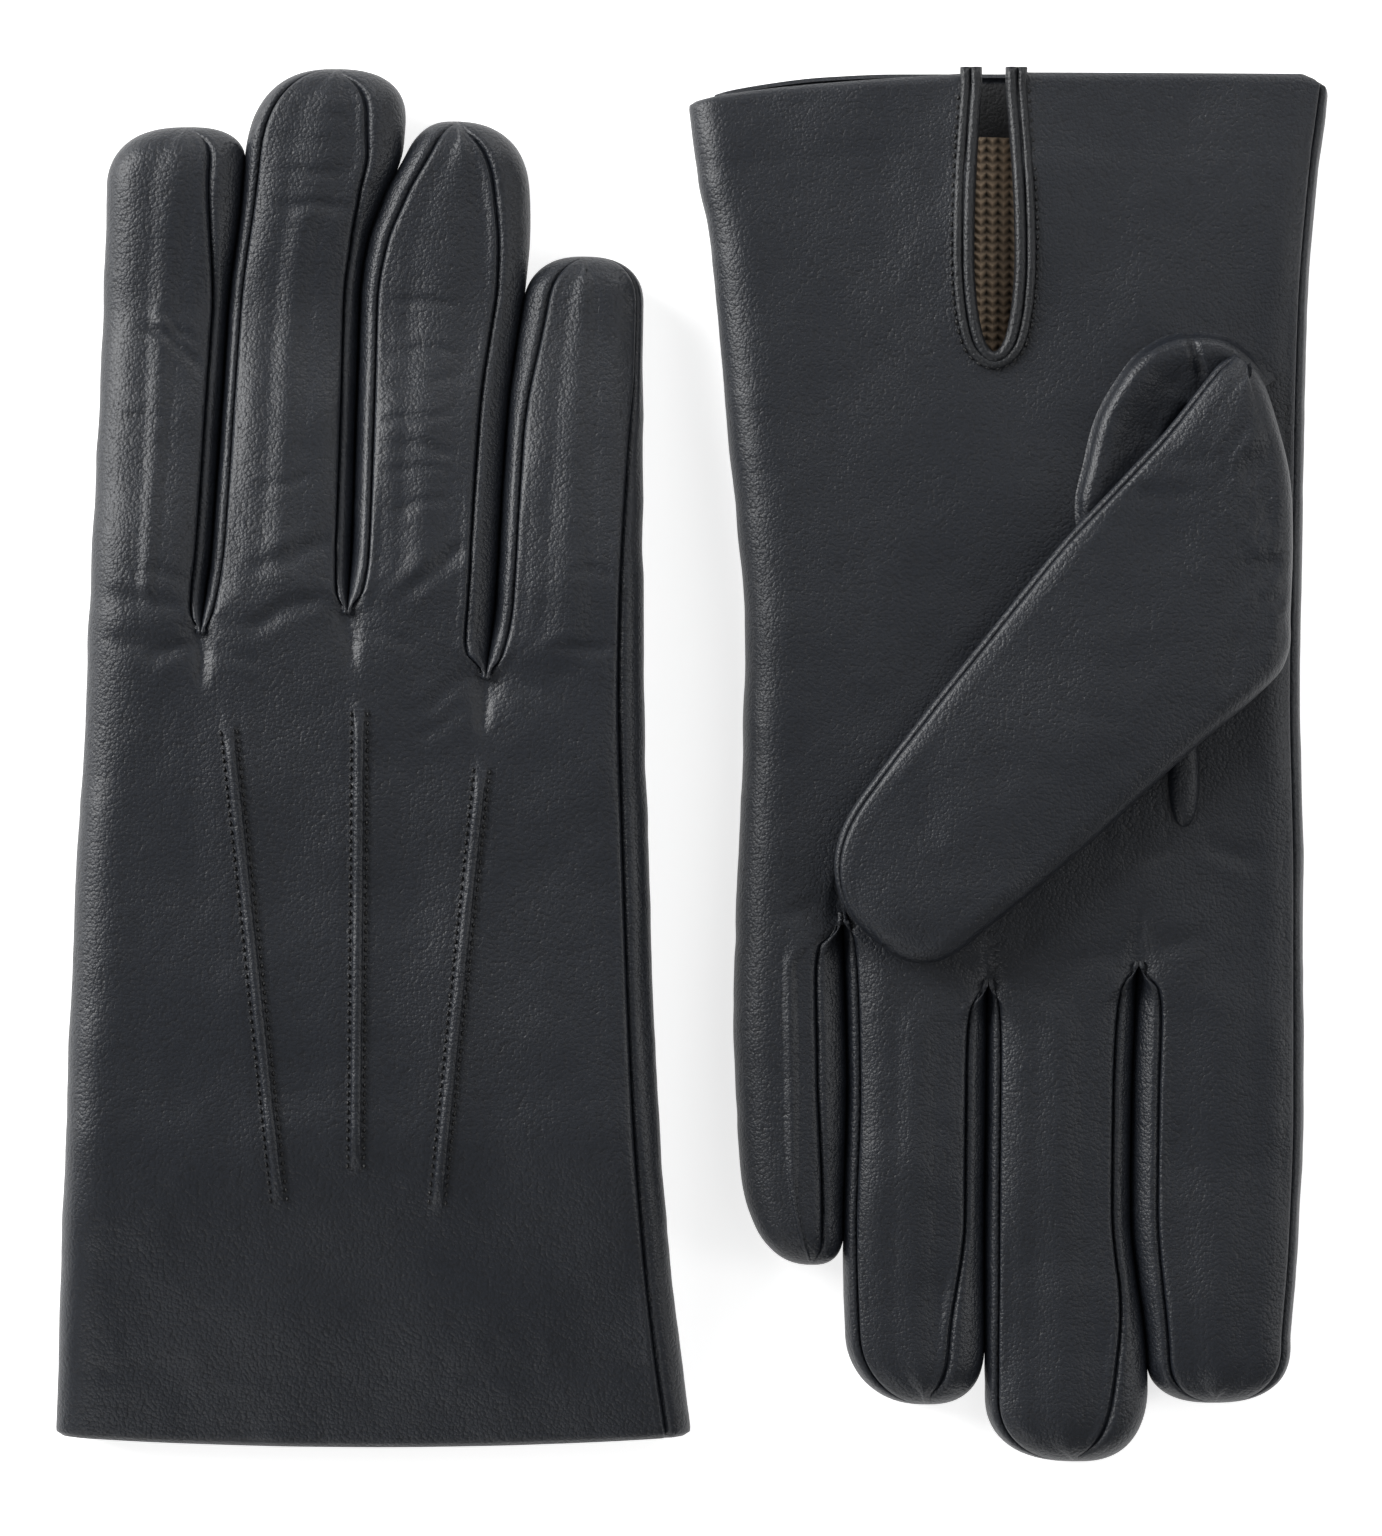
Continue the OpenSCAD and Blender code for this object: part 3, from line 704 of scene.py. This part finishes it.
def handGrid(g, side, v):
    # The hand is four blocks of columns, one below each finger, so that its last row is the
    # very line the fingers start from. v is the share of the way from the cuff to that line.
    order = (3, 2, 1, 0) if side == "back" else (0, 1, 2, 3)
    parts = []
    for n, j in enumerate(order):
        yRow = v * (forkY[j] + forkY[j + 1]) / 2
        little = outerRows(g, side, j, yRow)
        start, end = (little, indexSeam + 0 * v) if side == "back" else (indexSeam + 0 * v, little)
        theta, share = panelColumns(side, start, end, (n == 0, n == 3))
        y = baseLine(j, theta, share) * v[:, None]
        if n > 0:
            theta, share, y = theta[:, 1:], share[:, 1:], y[:, 1:]
        x, z, (ux, uz), _ = column(g, j, y, theta, share)
        parts.append(np.stack([x, y, z, ux, uz, theta]))
    return np.concatenate(parts, 2)


def handPanel(g, side):
    # One leather of the hand, with its cuff moved to the shape of its edge
    x, y, z, ux, uz, theta = handGrid(g, side, np.linspace(0, 1, panel["handRows"]))
    first, last = edgeGaps(x, z)
    flat = np.abs(around(theta)[1]) ** 2
    add = relief(g, side, x, y, flat, (first, 1.0), (last, 1.0))
    shift = cuffEdge(g, side, x) * (1 - smooth(y / 60))
    return np.stack([x + add * ux, y + shift, z + add * uz], -1)


def surfaceZ(g, side, x, y):
    # Height of the flat part of the hand's leather, and the sign of its outward direction
    out = 1 if side == "back" else -1
    none = (99.0, 0.0)
    add = relief(g, side, x, np.maximum(y, 1.4), np.ones_like(x), none, none)
    return midZ(g, y) + out * (thickAt(y) / 2 + add), out


def handRing(g, v, inset, raised):
    # Closed tube inside both leathers of the hand; its back is raised towards the vent
    rings = []
    for side in ("back", "palm"):
        x, y, z, ux, uz, theta = handGrid(g, side, v)
        shift = cuffEdge(g, side, x) * (1 - smooth(y / 60))
        depth = inset + 1.6 * smooth((y - 95) / 25)
        if side == "back":
            gap = x - vent["x"]
            lift = raised * np.exp(-((gap / 9) ** 2)) * smooth((64 - y) / 16)
            z = z - lift * np.abs(around(theta)[1])
        grid = np.stack([x - depth * ux, y + shift, z - depth * uz], -1)
        rings.append(grid if side == "back" else grid[:, 1:-1])
    return np.concatenate(rings, 1)


def stripGrid(g, j, edge):
    # Side strip of a finger between its two seams
    top, low = seamRows(g, "back", j, edge)[:, None], seamRows(g, "palm", j, edge)[:, None]
    c = np.linspace(0, 1, 21)
    theta = -low + (top + low) * c if edge == 1 else 180 - top + (top + low) * c
    share = (1.0 - edge) + 0 * theta
    y = fingerRows(g, "back", j, theta, share)
    x, z, (ux, uz), _ = column(g, j, y, theta, share)
    first, last = edgeGaps(x, z)
    soft = 1 - np.exp(-((np.minimum(first, last) / 1.2) ** 2))
    add = (0.05 * noise(y, z, 2.6, 70 + 4 * g + j) + 0.07 * noise(y, z, 8, 80 + j) + 0.1) * soft
    grow = smooth((y - baseLine(j, theta, share)) / 4)
    add = add + grow * (seamShape(first) + seamShape(last))
    add = add * smooth((tips[g][j][0] - y) / 5)
    return np.stack([x + add * ux, y, z + add * uz], -1)


def bend(obj, g, j):
    # Bakes the piece's place into its mesh. The points where the finger's base starts and ends are worked
    # out but not used.
    start = toWorld(g, np.array([0.0, forkY[j] + webSlant + 1, palmZ]))
    end = toWorld(g, np.array([0.0, forkY[j] + webSlant + 21, palmZ]))
    start[0] = end[0] = 0.0
    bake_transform(obj)


wall = panel["thickness"]
for g, glove in enumerate(gloves):
    obj = makeMesh(f"{glove}_hand_back", g, handPanel(g, "back"))
    finish(obj, skins["back"][g], glove + "_back_panel", wall)
    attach(obj, glove + "_hand")
    for side in ("back", "palm"):
        for j, finger in enumerate(fingers):
            obj = makeMesh(f"{glove}_{finger}_{side}_leather", g, fingerPanel(g, side, j))
            finish(obj, skins[side][g], f"{glove}_{finger}_{side}", wall)
            bend(obj, g, j)
    for j, finger in enumerate(fingers):
        for edge in (0, 1):
            if (j == 0 and edge == 0) or (j == 3 and edge == 1):
                continue
            obj = makeMesh(f"{glove}_{finger}_strip_{edge}", g, stripGrid(g, j, edge))
            finish(obj, grainLeather, f"{glove}_{finger}_fourchettes", wall)
            bend(obj, g, j)
print("panels and side strips ready")


def ventHalf(y):
    # Half width of the vent opening: it widens slowly from the cuff, then closes in a half ellipse
    t = np.clip(y / vent["length"], 0, 1)
    low = (0.6 + 0.4 * np.sin(np.clip(t / 0.62, 0, 1) * np.pi / 2)) * vent["width"] / 2
    high = np.sqrt(np.clip(1 - ((t - 0.62) / 0.38) ** 2, 0, 1)) * vent["width"] / 2
    return np.where(t < 0.62, low, high)


def anyCorner(mask):
    # Quads of a grid with at least one corner in the mask
    return mask[:-1, :-1] | mask[1:, :-1] | mask[:-1, 1:] | mask[1:, 1:]


def openVent(points, toPalm):
    # Columns beside the vent are pushed apart. Quads left across it are marked to be left out.
    x, y = points[..., 0], points[..., 1]
    gap = x - vent["x"]
    inside = (y < vent["length"]) & toPalm
    near = np.clip(1 - np.abs(gap) / 24, 0, 1) ** 1.5
    push = (ventHalf(y) + 0.7) * near * inside
    shifted = points.copy()
    shifted[..., 0] = x + np.where(gap >= 0, 1, -1) * push
    beside = inside & (np.abs(gap) < 12)
    return shifted, anyCorner(beside & (gap < 0)) & anyCorner(beside & (gap >= 0))


def ventPath(g, offset):
    # Down one side of the vent, round its end and up the other, moved outwards by offset
    u = np.linspace(-1, 1, 150)
    y = vent["length"] * (1 - np.abs(u) ** 1.7) - vent["ends"][g] * np.abs(u) ** 12
    x = np.sign(u) * ventHalf(np.maximum(y, 0))
    dx, dy = np.gradient(x), np.gradient(y)
    size = np.hypot(dx, dy)
    narrow = 1 - 0.32 * np.exp(-((u / 0.12) ** 2))
    away = offset * narrow / size
    return np.stack([vent["x"] + x - away * dy, y + away * dx], -1)


def sweep(name, g, side, path, profile, taper=0.0):
    # A closed profile of (sideways, outward) points carried along a path on the hand's surface
    tangent = np.gradient(path, axis=0)
    tangent /= np.linalg.norm(tangent, axis=1)[:, None]
    across = np.stack([tangent[:, 1], -tangent[:, 0]], -1)
    z, out = surfaceZ(g, side, path[:, 0], path[:, 1])
    t = np.linspace(0, 1, len(path))
    swell = np.ones_like(t) if taper == 0 else smooth(t / taper) * smooth((1 - t) / taper)
    ring = np.asarray(profile, float)
    x = path[:, :1] + across[:, :1] * ring[:, 0]
    y = path[:, 1:] + across[:, 1:] * ring[:, 0]
    height = np.where(ring[:, 1] > 0, ring[:, 1] * swell[:, None], ring[:, 1])
    body = np.stack([x, y, z[:, None] + out * height], -1)
    body = np.concatenate([pole(body[0]), body, pole(body[-1])])
    return makeMesh(name, g, body, closed=True, solid=True)


def oval(width, height, sunk, count=18, power=2.0):
    # Superellipse, higher above the surface than it is sunk below it
    t = np.linspace(0, 2 * np.pi, count, endpoint=False)
    c, s = np.cos(t), np.sin(t)
    across = width / 2 * np.sign(c) * np.abs(c) ** (2 / power)
    arch = np.sign(s) * np.abs(s) ** (2 / power)
    return np.stack([across, np.where(s > 0, height, sunk) * arch], -1)


def stitches(name, g, centres, headings, length, radius):
    # Each stitch is a short six-sided bead, thick in the middle and closed at both ends
    along = np.array([-0.5, -0.3, 0, 0.3, 0.5]) * length
    thick = np.array([0, 0.8, 1, 0.8, 0]) * radius
    arch = np.array([-0.8, 0.1, 0.35, 0.1, -0.8]) * radius
    turn = np.arange(6) * np.pi / 3
    n = len(centres)
    side = np.stack([headings[:, 1], -headings[:, 0], 0 * headings[:, 0]], -1)
    ahead = np.concatenate([headings, np.zeros((n, 1))], 1)
    up = np.zeros((n, 3))
    up[:, 2] = centres[:, 3]
    points = (centres[:, None, None, :3] + ahead[:, None, None] * along[:, None, None]
              + side[:, None, None] * (thick[:, None] * np.cos(turn))[..., None]
              + up[:, None, None] * (thick[:, None] * np.sin(turn) + arch[:, None])[..., None])
    count = len(along)
    quads = gridQuads(count, 6, True).reshape(-1, 4)
    quads = (quads[None] + np.arange(n)[:, None, None] * count * 6).reshape(-1, 4)
    flat = toWorld(g, points).reshape(-1, 3)
    p = flat[quads[: (count - 1) * 6]] - flat[: count * 6].mean(0)
    if np.einsum("ij,ij->", p[:, 0], np.cross(p[:, 1], p[:, 2])) < 0:
        quads = quads[:, ::-1]
    return meshFrom(name, flat, quads, np.zeros(len(flat), np.int32))


def alongPath(path, pitch):
    # Evenly spaced points along a path, with the heading there
    step = np.linalg.norm(np.diff(path, axis=0), axis=1)
    run = np.concatenate([[0], np.cumsum(step)])
    at = np.arange(0.5 * pitch, run[-1], pitch)
    place, behind, before = (
        np.stack([np.interp(at + shift, run, path[:, k]) for k in (0, 1)], -1) for shift in (0, -0.3, 0.3)
    )
    ahead = before - behind
    return place, ahead / np.linalg.norm(ahead, axis=1)[:, None]


def onSurface(g, side, place, raised):
    # Points raised from the leather, with the sign of its outward direction
    z, out = surfaceZ(g, side, place[:, 0], place[:, 1])
    return np.stack([place[:, 0], place[:, 1], z + out * raised, out + 0 * z], -1)


# Each roll's piece and CAD node, then its distance from the opening, width, height and sunk depth
ventRolls = (("roll", "edge", 0.95, 2.2, 1.45, 1.6), ("outer_roll", "binding", 2.85, 1.9, 1.2, 0.9))
ventStitch = dict(offset=4.0, pitch=1.75, length=1.25, radius=0.28, raised=0.45)
for g, glove in enumerate(gloves):
    points = handPanel(g, "palm")
    palmSide = np.zeros(points.shape[:2], bool)
    palmSide[:, panel["cornerColumns"] : -panel["cornerColumns"]] = True
    gapped, skip = openVent(points, palmSide)
    rise = np.exp(-(((np.abs(gapped[..., 0] - vent["x"]) - ventHalf(gapped[..., 1]) - 2.2) / 2.4) ** 2))
    gapped[..., 2] -= 0.35 * rise * palmSide * smooth((vent["length"] + 5 - gapped[..., 1]) / 6)
    obj = makeMesh(f"{glove}_hand_palm", g, gapped, skip=skip)
    finish(obj, skins["palm"][g], glove + "_palm_panel", wall)
    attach(obj, glove + "_hand")
    for name, node, offset, width, height, sunk in ventRolls:
        profile = oval(width, height, sunk, power=2.2)
        obj = sweep(f"{glove}_vent_{name}", g, "palm", ventPath(g, offset), profile)
        finish(obj, bindingLeather, f"{glove}_vent_{node}")
        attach(obj, glove + "_hand")
    place, ahead = alongPath(ventPath(g, ventStitch["offset"]), ventStitch["pitch"])
    keep = place[:, 1] > 0.5
    centres = onSurface(g, "palm", place[keep], ventStitch["raised"])
    name = f"{glove}_vent_stitches"
    obj = stitches(name, g, centres, ahead[keep], ventStitch["length"], ventStitch["radius"])
    finish(obj, blackThread, glove + "_vent_stitching")
    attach(obj, glove + "_hand")
print("palms and vents ready")

# The raised points on the back; height and raised have a value for each glove
pointStyle = dict(
    width=1.9, height=(0.1, 0.75), sunk=0.5, taper=0.07,
    rowGap=3.0, pitch=1.6, length=1.05, radius=0.24, raised=(-0.05, 0.24),
)
for g, glove in enumerate(gloves):
    profile = oval(pointStyle["width"], pointStyle["height"][g], pointStyle["sunk"], 20)
    places, headings = [], []
    for k, ((x0, y0), (x1, y1)) in enumerate(pointLines):
        t = np.linspace(0, 1, 150)[:, None]
        path = np.array([[x0, y0]]) + t * np.array([[x1 - x0, y1 - y0]])
        ridge = sweep(f"{glove}_point_{k + 1}", g, "back", path, profile, pointStyle["taper"])
        finish(ridge, grainLeather, glove + "_back_panel")
        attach(ridge, glove + "_hand")
        for hand in (-1, 1):
            place, ahead = alongPath(path, pointStyle["pitch"])
            shift = np.stack([ahead[:, 1], -ahead[:, 0]], -1) * hand * pointStyle["rowGap"] / 2
            places.append(place + shift)
            headings.append(ahead)
    centres = onSurface(g, "back", np.concatenate(places), pointStyle["raised"][g])
    name, headings = f"{glove}_point_stitches", np.concatenate(headings)
    obj = stitches(name, g, centres, headings, pointStyle["length"], pointStyle["radius"])
    finish(obj, blackThread, glove + "_point_stitching")
    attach(obj, glove + "_hand")
print("points ready")

lining = dict(
    wall=1.0, inset=2.1, raised=4.6, facingWall=0.8, facingInset=0.95, facingDepth=12.0,
    fingerWall=0.9, fingerInset=2.3,
)


def handTube(name, g, v, inset, raised):
    # The tube is opened in front of the vent
    ring = handRing(g, v, inset, raised)
    gapped, skip = openVent(ring, midZ(g, ring[..., 1]) - ring[..., 2] > 2.5)
    skip = np.concatenate([skip, np.zeros((len(skip), 1), bool)], 1)
    return makeMesh(name, g, gapped, closed=True, skip=skip)


for g, glove in enumerate(gloves):
    facingEnd = lining["facingDepth"] / 140  # as a share of the way to the fingers
    v = np.linspace(0.012, facingEnd, 14)
    obj = handTube(f"{glove}_facing", g, v, lining["facingInset"], 0.0)
    finish(obj, facingLeather, glove + "_cuff_facing", lining["facingWall"])
    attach(obj, glove + "_hand")
    v = np.linspace(facingEnd - 1 / 140, 1, 110)
    obj = handTube(f"{glove}_lining", g, v, lining["inset"], lining["raised"])
    finish(obj, knitRib, glove + "_hand_lining", lining["wall"])
    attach(obj, glove + "_hand")
    for j, finger in enumerate(fingers):
        shaftEnd, capY = rowHeights(j, g)
        start = max(forkY[j], forkY[j + 1]) + webSlant + 3
        inset = lining["fingerInset"]
        y = np.concatenate([np.linspace(start, shaftEnd, 50), capY])[:, None]
        y = y - inset * smooth((y - shaftEnd) / (tips[g][j][0] - shaftEnd))
        # Columns of a whole section: a quarter turn, the flat back, a half turn, the flat palm, the rest
        turn = np.linspace(0, 360, 64, endpoint=False)
        ends = np.where(np.cos(np.radians(turn)) > -1e-9, 0.0, 1.0)
        flat = np.linspace(0.04, 0.96, 12)
        theta = [turn[:17], 90 + 0 * flat, turn[17:48], 270 + 0 * flat, turn[48:]]
        share = [ends[:17], flat, ends[17:48], flat[::-1], ends[48:]]
        theta, share = np.concatenate(theta) + 0 * y, np.concatenate(share) + 0 * y
        full = y + 0 * theta
        x, z, (ux, uz), _ = column(g, j, full, theta, share)
        tube = np.stack([x - inset * ux, full, z - inset * uz], -1)
        tube = np.concatenate([tube[:-3], pole(tube[-1])])
        obj = makeMesh(f"{glove}_{finger}_inner", g, tube, closed=True)
        finish(obj, knitRib, f"{glove}_{finger}_lining", lining["fingerWall"])
        bend(obj, g, j)
print("linings ready")

# Each thumb has a frame of its own: w across it, v from its root to its tip
thumbPlaces = (
    dict(origin=(-35.5, 58), turn=-37, reach=1.0, width=1.0),
    dict(origin=(-34, 61), turn=-34, reach=0.86, width=0.92),
)
thumbEdges = (
    ((-10.3, -1.4), (-9, -4.5), (-5.8, -9.2), (0.9, -17.4), (10, -25), (20.8, -32.6), (26, -36.2),
     (30, -37.2), (36, -36.4), (48, -33.6), (60, -31.2), (74, -28.6), (89, -25.2), (101, -22.2),
     (112, -20)),
    ((-10.3, 3.2), (-6, 4.4), (6, 4.7), (20, 6), (36, 7.6), (55, 8.3), (73, 8.8), (91, 9), (112, 8.6)),
)
thumbStyle = dict(
    thick=9.2, corner=4.7, root=-10.3, tip=111.4, tipX=-10.6, runLow=10.0, runHigh=20.5, seam=-32.0,
)
thumbCreases = (
    (4.5, 22, -8, 13, 1.8, 0.28), (4.6, 14, -6, 7, 1.6, 0.22), (-10, -6, -15, 10, 1.4, 0.3),
    (-26, 28, -32, 40, 1.6, 0.3), (-8, 60, -24, 52, 2.4, 0.22), (0, 88, -16, 96, 2.6, 0.18),
)


def thumbPlace(g, w, v):
    # From the thumb's own frame, w across and v along, to the glove frame
    spot = thumbPlaces[g]
    turn = math.radians(spot["turn"])
    w, v = w * spot["width"], v * spot["reach"]
    return (spot["origin"][0] + w * math.cos(turn) - v * math.sin(turn),
            spot["origin"][1] + w * math.sin(turn) + v * math.cos(turn))


def thumbPoints(g, v, theta, share, inset=0.0):
    # Pillow-shaped section between the two edges, closed by superellipses at both ends
    ct, st = around(theta)
    style = thumbStyle
    xl, xr = curve(thumbEdges[0], v), curve(thumbEdges[1], v)
    tipX = style["tipX"]
    xl = tipX - (tipX - xl) * np.where(v > 60, capShare(v, style["tip"], style["runLow"]), 1)
    xr = tipX + (xr - tipX) * np.where(v > 60, capShare(v, style["tip"], style["runHigh"]), 1)
    foot = capShare(-v, -style["root"], 12.0)
    nose = capShare(v, style["tip"], 9.0)
    half = style["thick"] / 2 * np.minimum(nose, 1) * (0.25 + 0.75 * foot)
    radius = np.minimum(style["corner"], 0.48 * (xr - xl))
    w = xr - radius + (xl + radius - xr + radius) * share + radius * ct
    fill = (1 - (2 * share - 1) ** 2) * 0.55 * nose * (st < -0.999)
    z = style["thick"] / 2 + half * st - fill * (g == 0)
    ux, uz = np.cos(np.radians(theta)), np.sin(np.radians(theta))
    return w - inset * ux, z - inset * uz, ux, uz


def thumbRelief(g, w, v, face):
    # Soft waves, pulls along the seam and a crumpled patch where the thumb joins the hand
    out = 0.5 * noise(w, v, 19, 31 + g) + 0.2 * noise(w, v, 7.5, 33 + g) + 0.05 * noise(w, v, 3, 35 + g)
    patch = np.exp(-(((w + 1.06 * v + 7) / 7) ** 2)) * smooth((34 - v) / 8) * smooth((v + 4) / 6)
    out = out + patch * (0.5 * noise(w * 1.6, v * 0.7, 3.3, 37) + 0.22 * noise(w * 2, v, 1.7, 38))
    for w0, v0, w1, v1, width, depth in thumbCreases:
        t, gap = besideLine(w, v, w0, v0, w1, v1)
        out = out - depth * smooth(t / 0.3) * smooth((1 - t) / 0.3) * np.exp(-((gap / width) ** 2))
    return out * (1 if face == "front" else 0.6)


def thumbGrid(g, face):
    # One leather of the thumb; the rows close up towards both ends as a quarter circle's do
    root, seam = thumbStyle["root"], thumbStyle["seam"]
    rows = np.concatenate([
        root + 12 * (1 - np.cos(np.linspace(0, np.pi / 2, 18)[:-1])), np.linspace(root + 12, 96, 120),
        96 + 15.4 * np.sin(np.linspace(0, np.pi / 2, 30)[1:]),
    ])[:, None]
    c, f = np.linspace(0, 1, 15), np.linspace(0, 1, 56)
    if face == "front":
        theta = np.concatenate([180 + 90 * c, 270 + 0 * f[1:], 270 + (90 + seam) * c[1:]])
        share = np.concatenate([1 + 0 * c, 1 - f[1:], 0 * c[1:]])
    else:
        theta = np.concatenate([seam + (90 - seam) * c, 90 + 0 * f[1:], 90 + 90 * c[1:]])
        share = np.concatenate([0 * c, f[1:], 1 + 0 * c[1:]])
    theta, share = theta[None] + 0 * rows, share[None] + 0 * rows
    v = rows + 0 * theta
    w, z, ux, uz = thumbPoints(g, v, theta, share)
    first, last = edgeGaps(w, z)
    gap = last if face == "front" else first
    add = thumbRelief(g, w, v, face) * np.abs(around(theta)[1]) ** 2
    if g == 1:  # the right thumb lies on the floor
        add = np.minimum(add, 0.1)
    add = add - 0.6 * np.exp(-((gap / 0.5) ** 2)) + 0.2 * np.exp(-(((gap - 1.5) / 0.7) ** 2))
    add = add * smooth((thumbStyle["tip"] - v) / 4) * smooth((v - root) / 4)
    x, y = thumbPlace(g, w + add * ux, v)
    grid = np.stack([x, y, z + add * uz], -1)
    return np.concatenate([pole(grid[0]), grid[1:-1], pole(grid[-1])])


for g, glove in enumerate(gloves):
    for face in ("front", "back"):
        obj = makeMesh(f"{glove}_thumb_{face}_leather", g, thumbGrid(g, face))
        finish(obj, skins["palm"][g], f"{glove}_thumb_{face}", wall)
        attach(obj, glove + "_thumb")
    rows = np.linspace(-4, 106, 70)[:, None]
    turn = np.linspace(0, 360, 60, endpoint=False)[None] + 0 * rows
    share = np.where(np.cos(np.radians(turn)) >= 0, 0.0, 1.0)
    v = rows + 0 * turn
    w, z, _, _ = thumbPoints(g, v, turn, share, 2.0)
    x, y = thumbPlace(g, w, v)
    tube = np.stack([x, y, z], -1)
    tube = np.concatenate([pole(tube[0]), tube, pole(tube[-1])])
    obj = makeMesh(f"{glove}_thumb_inner", g, tube, closed=True, solid=True)
    finish(obj, knitRib, glove + "_thumb_lining")
    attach(obj, glove + "_thumb")
print("thumbs ready")

# The gusset at the thumb's root: the line of its raised lip, the lip's section, and a drop at its far end
gusset = dict(
    wall=0.5, inside=(-32.0, 66.0),
    lip=((-15, 84), (-12.8, 79), (-12.4, 74), (-13.8, 67.6), (-16.1, 58.7), (-19.3, 52.9), (-23, 48.3),
         (-27.5, 45.7), (-33, 44.9), (-38, 45.8), (-42, 48.6), (-45.5, 53)),
    profile=((-2.8, -0.5), (-1.4, -0.1), (-0.6, 1.1), (-0.1, 2.5), (0.8, 3.4), (2.2, 3.5), (4, 3.0),
             (6, 2.3), (8.5, 1.6), (11, 1.1), (13, -0.5)),
    dropX=-30.4, dropY=120.4, dropLength=11.6, dropHalfWidth=3.5, dropHeight=2.3,
)


def smoothLine(points, count):
    # Cubics through the points, with the distance along their straight links as the parameter
    p = np.asarray(points, float)
    run = np.concatenate([[0], np.cumsum(np.linalg.norm(np.diff(p, axis=0), axis=1))])
    at = np.linspace(0, run[-1], count)
    return np.stack([hermite(run, p[:, k], np.gradient(p[:, k], run), at) for k in (0, 1)], -1)


for g, glove in enumerate(gloves):
    path = smoothLine(gusset["lip"], 150)
    tangent = np.gradient(path, axis=0)
    tangent /= np.linalg.norm(tangent, axis=1)[:, None]
    inward = np.stack([tangent[:, 1], -tangent[:, 0]], -1)
    inward *= np.sign(np.sum(inward[75] * (np.array(gusset["inside"]) - path[75])))
    profile = smoothLine(gusset["profile"], 44)
    t = np.linspace(0, 1, len(path))
    tall = smooth(t / 0.18) * (0.25 + 0.75 * smooth((1 - t) / 0.12)) * 0.95
    wide = 1 + 0.12 * noise(t * 40, 0 * t, 6, 51)
    x = path[:, :1] + inward[:, :1] * profile[:, 0] * wide[:, None]
    y = path[:, 1:] + inward[:, 1:] * profile[:, 0] * wide[:, None]
    z, out = surfaceZ(g, "palm", x, y)
    rough = 0.16 * noise(x, y, 5, 52) + 0.08 * noise(x, y, 2.2, 53)
    fold = 0.9 * np.exp(-(((x + 32 + 0.25 * (y - 46)) / 0.9) ** 2)) * smooth((54 - y) / 4)
    z = z + out * (profile[:, 1] * tall[:, None] + rough * (profile[:, 1] > 0.6) - fold)
    up = (0, 0, 1 - 2 * g)
    obj = makeMesh(f"{glove}_gusset_lip", g, np.stack([x, y, z], -1), facing=up)
    finish(obj, skins["palm"][g], glove + "_thumb_gusset", gusset["wall"])
    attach(obj, glove + "_hand")
    # The drop is a dome on an oval that is narrower at one end
    t = np.linspace(0, 1, 40)[:, None]
    turn = np.linspace(0, 2 * np.pi, 60)[None]
    y = gusset["dropY"] + gusset["dropLength"] * np.cos(turn) * t
    x = gusset["dropX"] + gusset["dropHalfWidth"] * np.sin(turn) * t * (0.78 + 0.22 * np.cos(turn))
    z, out = surfaceZ(g, "palm", x, y)
    dome = np.sqrt(np.clip(1 - t ** 2.6, 0, 1)) * gusset["dropHeight"] - 0.4 * t ** 8
    drop = np.stack([x, y, z + out * dome], -1)
    obj = makeMesh(f"{glove}_gusset_end", g, drop[:, :-1], closed=True, facing=up)
    finish(obj, skins["palm"][g], glove + "_thumb_gusset", gusset["wall"])
    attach(obj, glove + "_hand")
print("gussets ready")

camera = bpy.data.objects.new("camera", bpy.data.cameras.new("camera"))
bpy.context.scene.collection.objects.link(camera)
viewHeight = 0.2743  # metres the picture shows at 10 mm over the floor
camera.data.lens = 200
camera.data.sensor_width = 36
camera.location = (-0.0003, -0.0005, 0.010 + viewHeight / 2 / (18 / 200))
camera.data.clip_start = 0.05
camera.data.clip_end = 50
bpy.context.scene.camera = camera

floorMesh = bpy.data.meshes.new("floor")
corners = [(x, y, -0.0001) for x, y in ((-3, -3), (3, -3), (3, 3), (-3, 3))]
floorMesh.from_pydata(corners, [], [(0, 1, 2, 3)])
floor = bpy.data.objects.new("floor", floorMesh)
bpy.context.scene.collection.objects.link(floor)
white = Paint("floor_white")
white.put(white.shader.inputs["Base Color"], (0.92, 0.92, 0.92, 1))
white.put(white.shader.inputs["Roughness"], 0.9)
white.put(white.shader.inputs["Emission Color"], (1, 1, 1, 1))
white.put(white.shader.inputs["Emission Strength"], 0.7)
white.put(white.shader.inputs["Specular IOR Level"], 0.1)
floorMesh.materials.append(white.material)

# Place, size and power of each light, all aimed at the gloves
lights = dict(
    left=((-1.15, 0.62, 0.62), 0.9, 30),
    right=((1.1, -0.1, 0.6), 0.4, 2.6),
    top=((0.5, 1.2, 0.6), 0.6, 5),
    front=((-0.5, -1.1, 0.7), 0.5, 3),
    overhead=((0.78, 0.3, 1.25), 1.0, 2.7),
)
for name, (place, size, power) in lights.items():
    lamp = bpy.data.lights.new(name, "AREA")
    lamp.shape = "SQUARE"
    lamp.size = size
    lamp.energy = power
    obj = bpy.data.objects.new(name, lamp)
    bpy.context.scene.collection.objects.link(obj)
    obj.location = place
    obj.rotation_euler = (-Vector(place)).to_track_quat("-Z", "Y").to_euler()
world = bpy.data.worlds.new("studio")
bpy.context.scene.world = world
world.use_nodes = True
world.node_tree.nodes["Background"].inputs[0].default_value = (1, 1, 1, 1)
world.node_tree.nodes["Background"].inputs[1].default_value = 0.16
bpy.context.scene.view_settings.view_transform = "Standard"
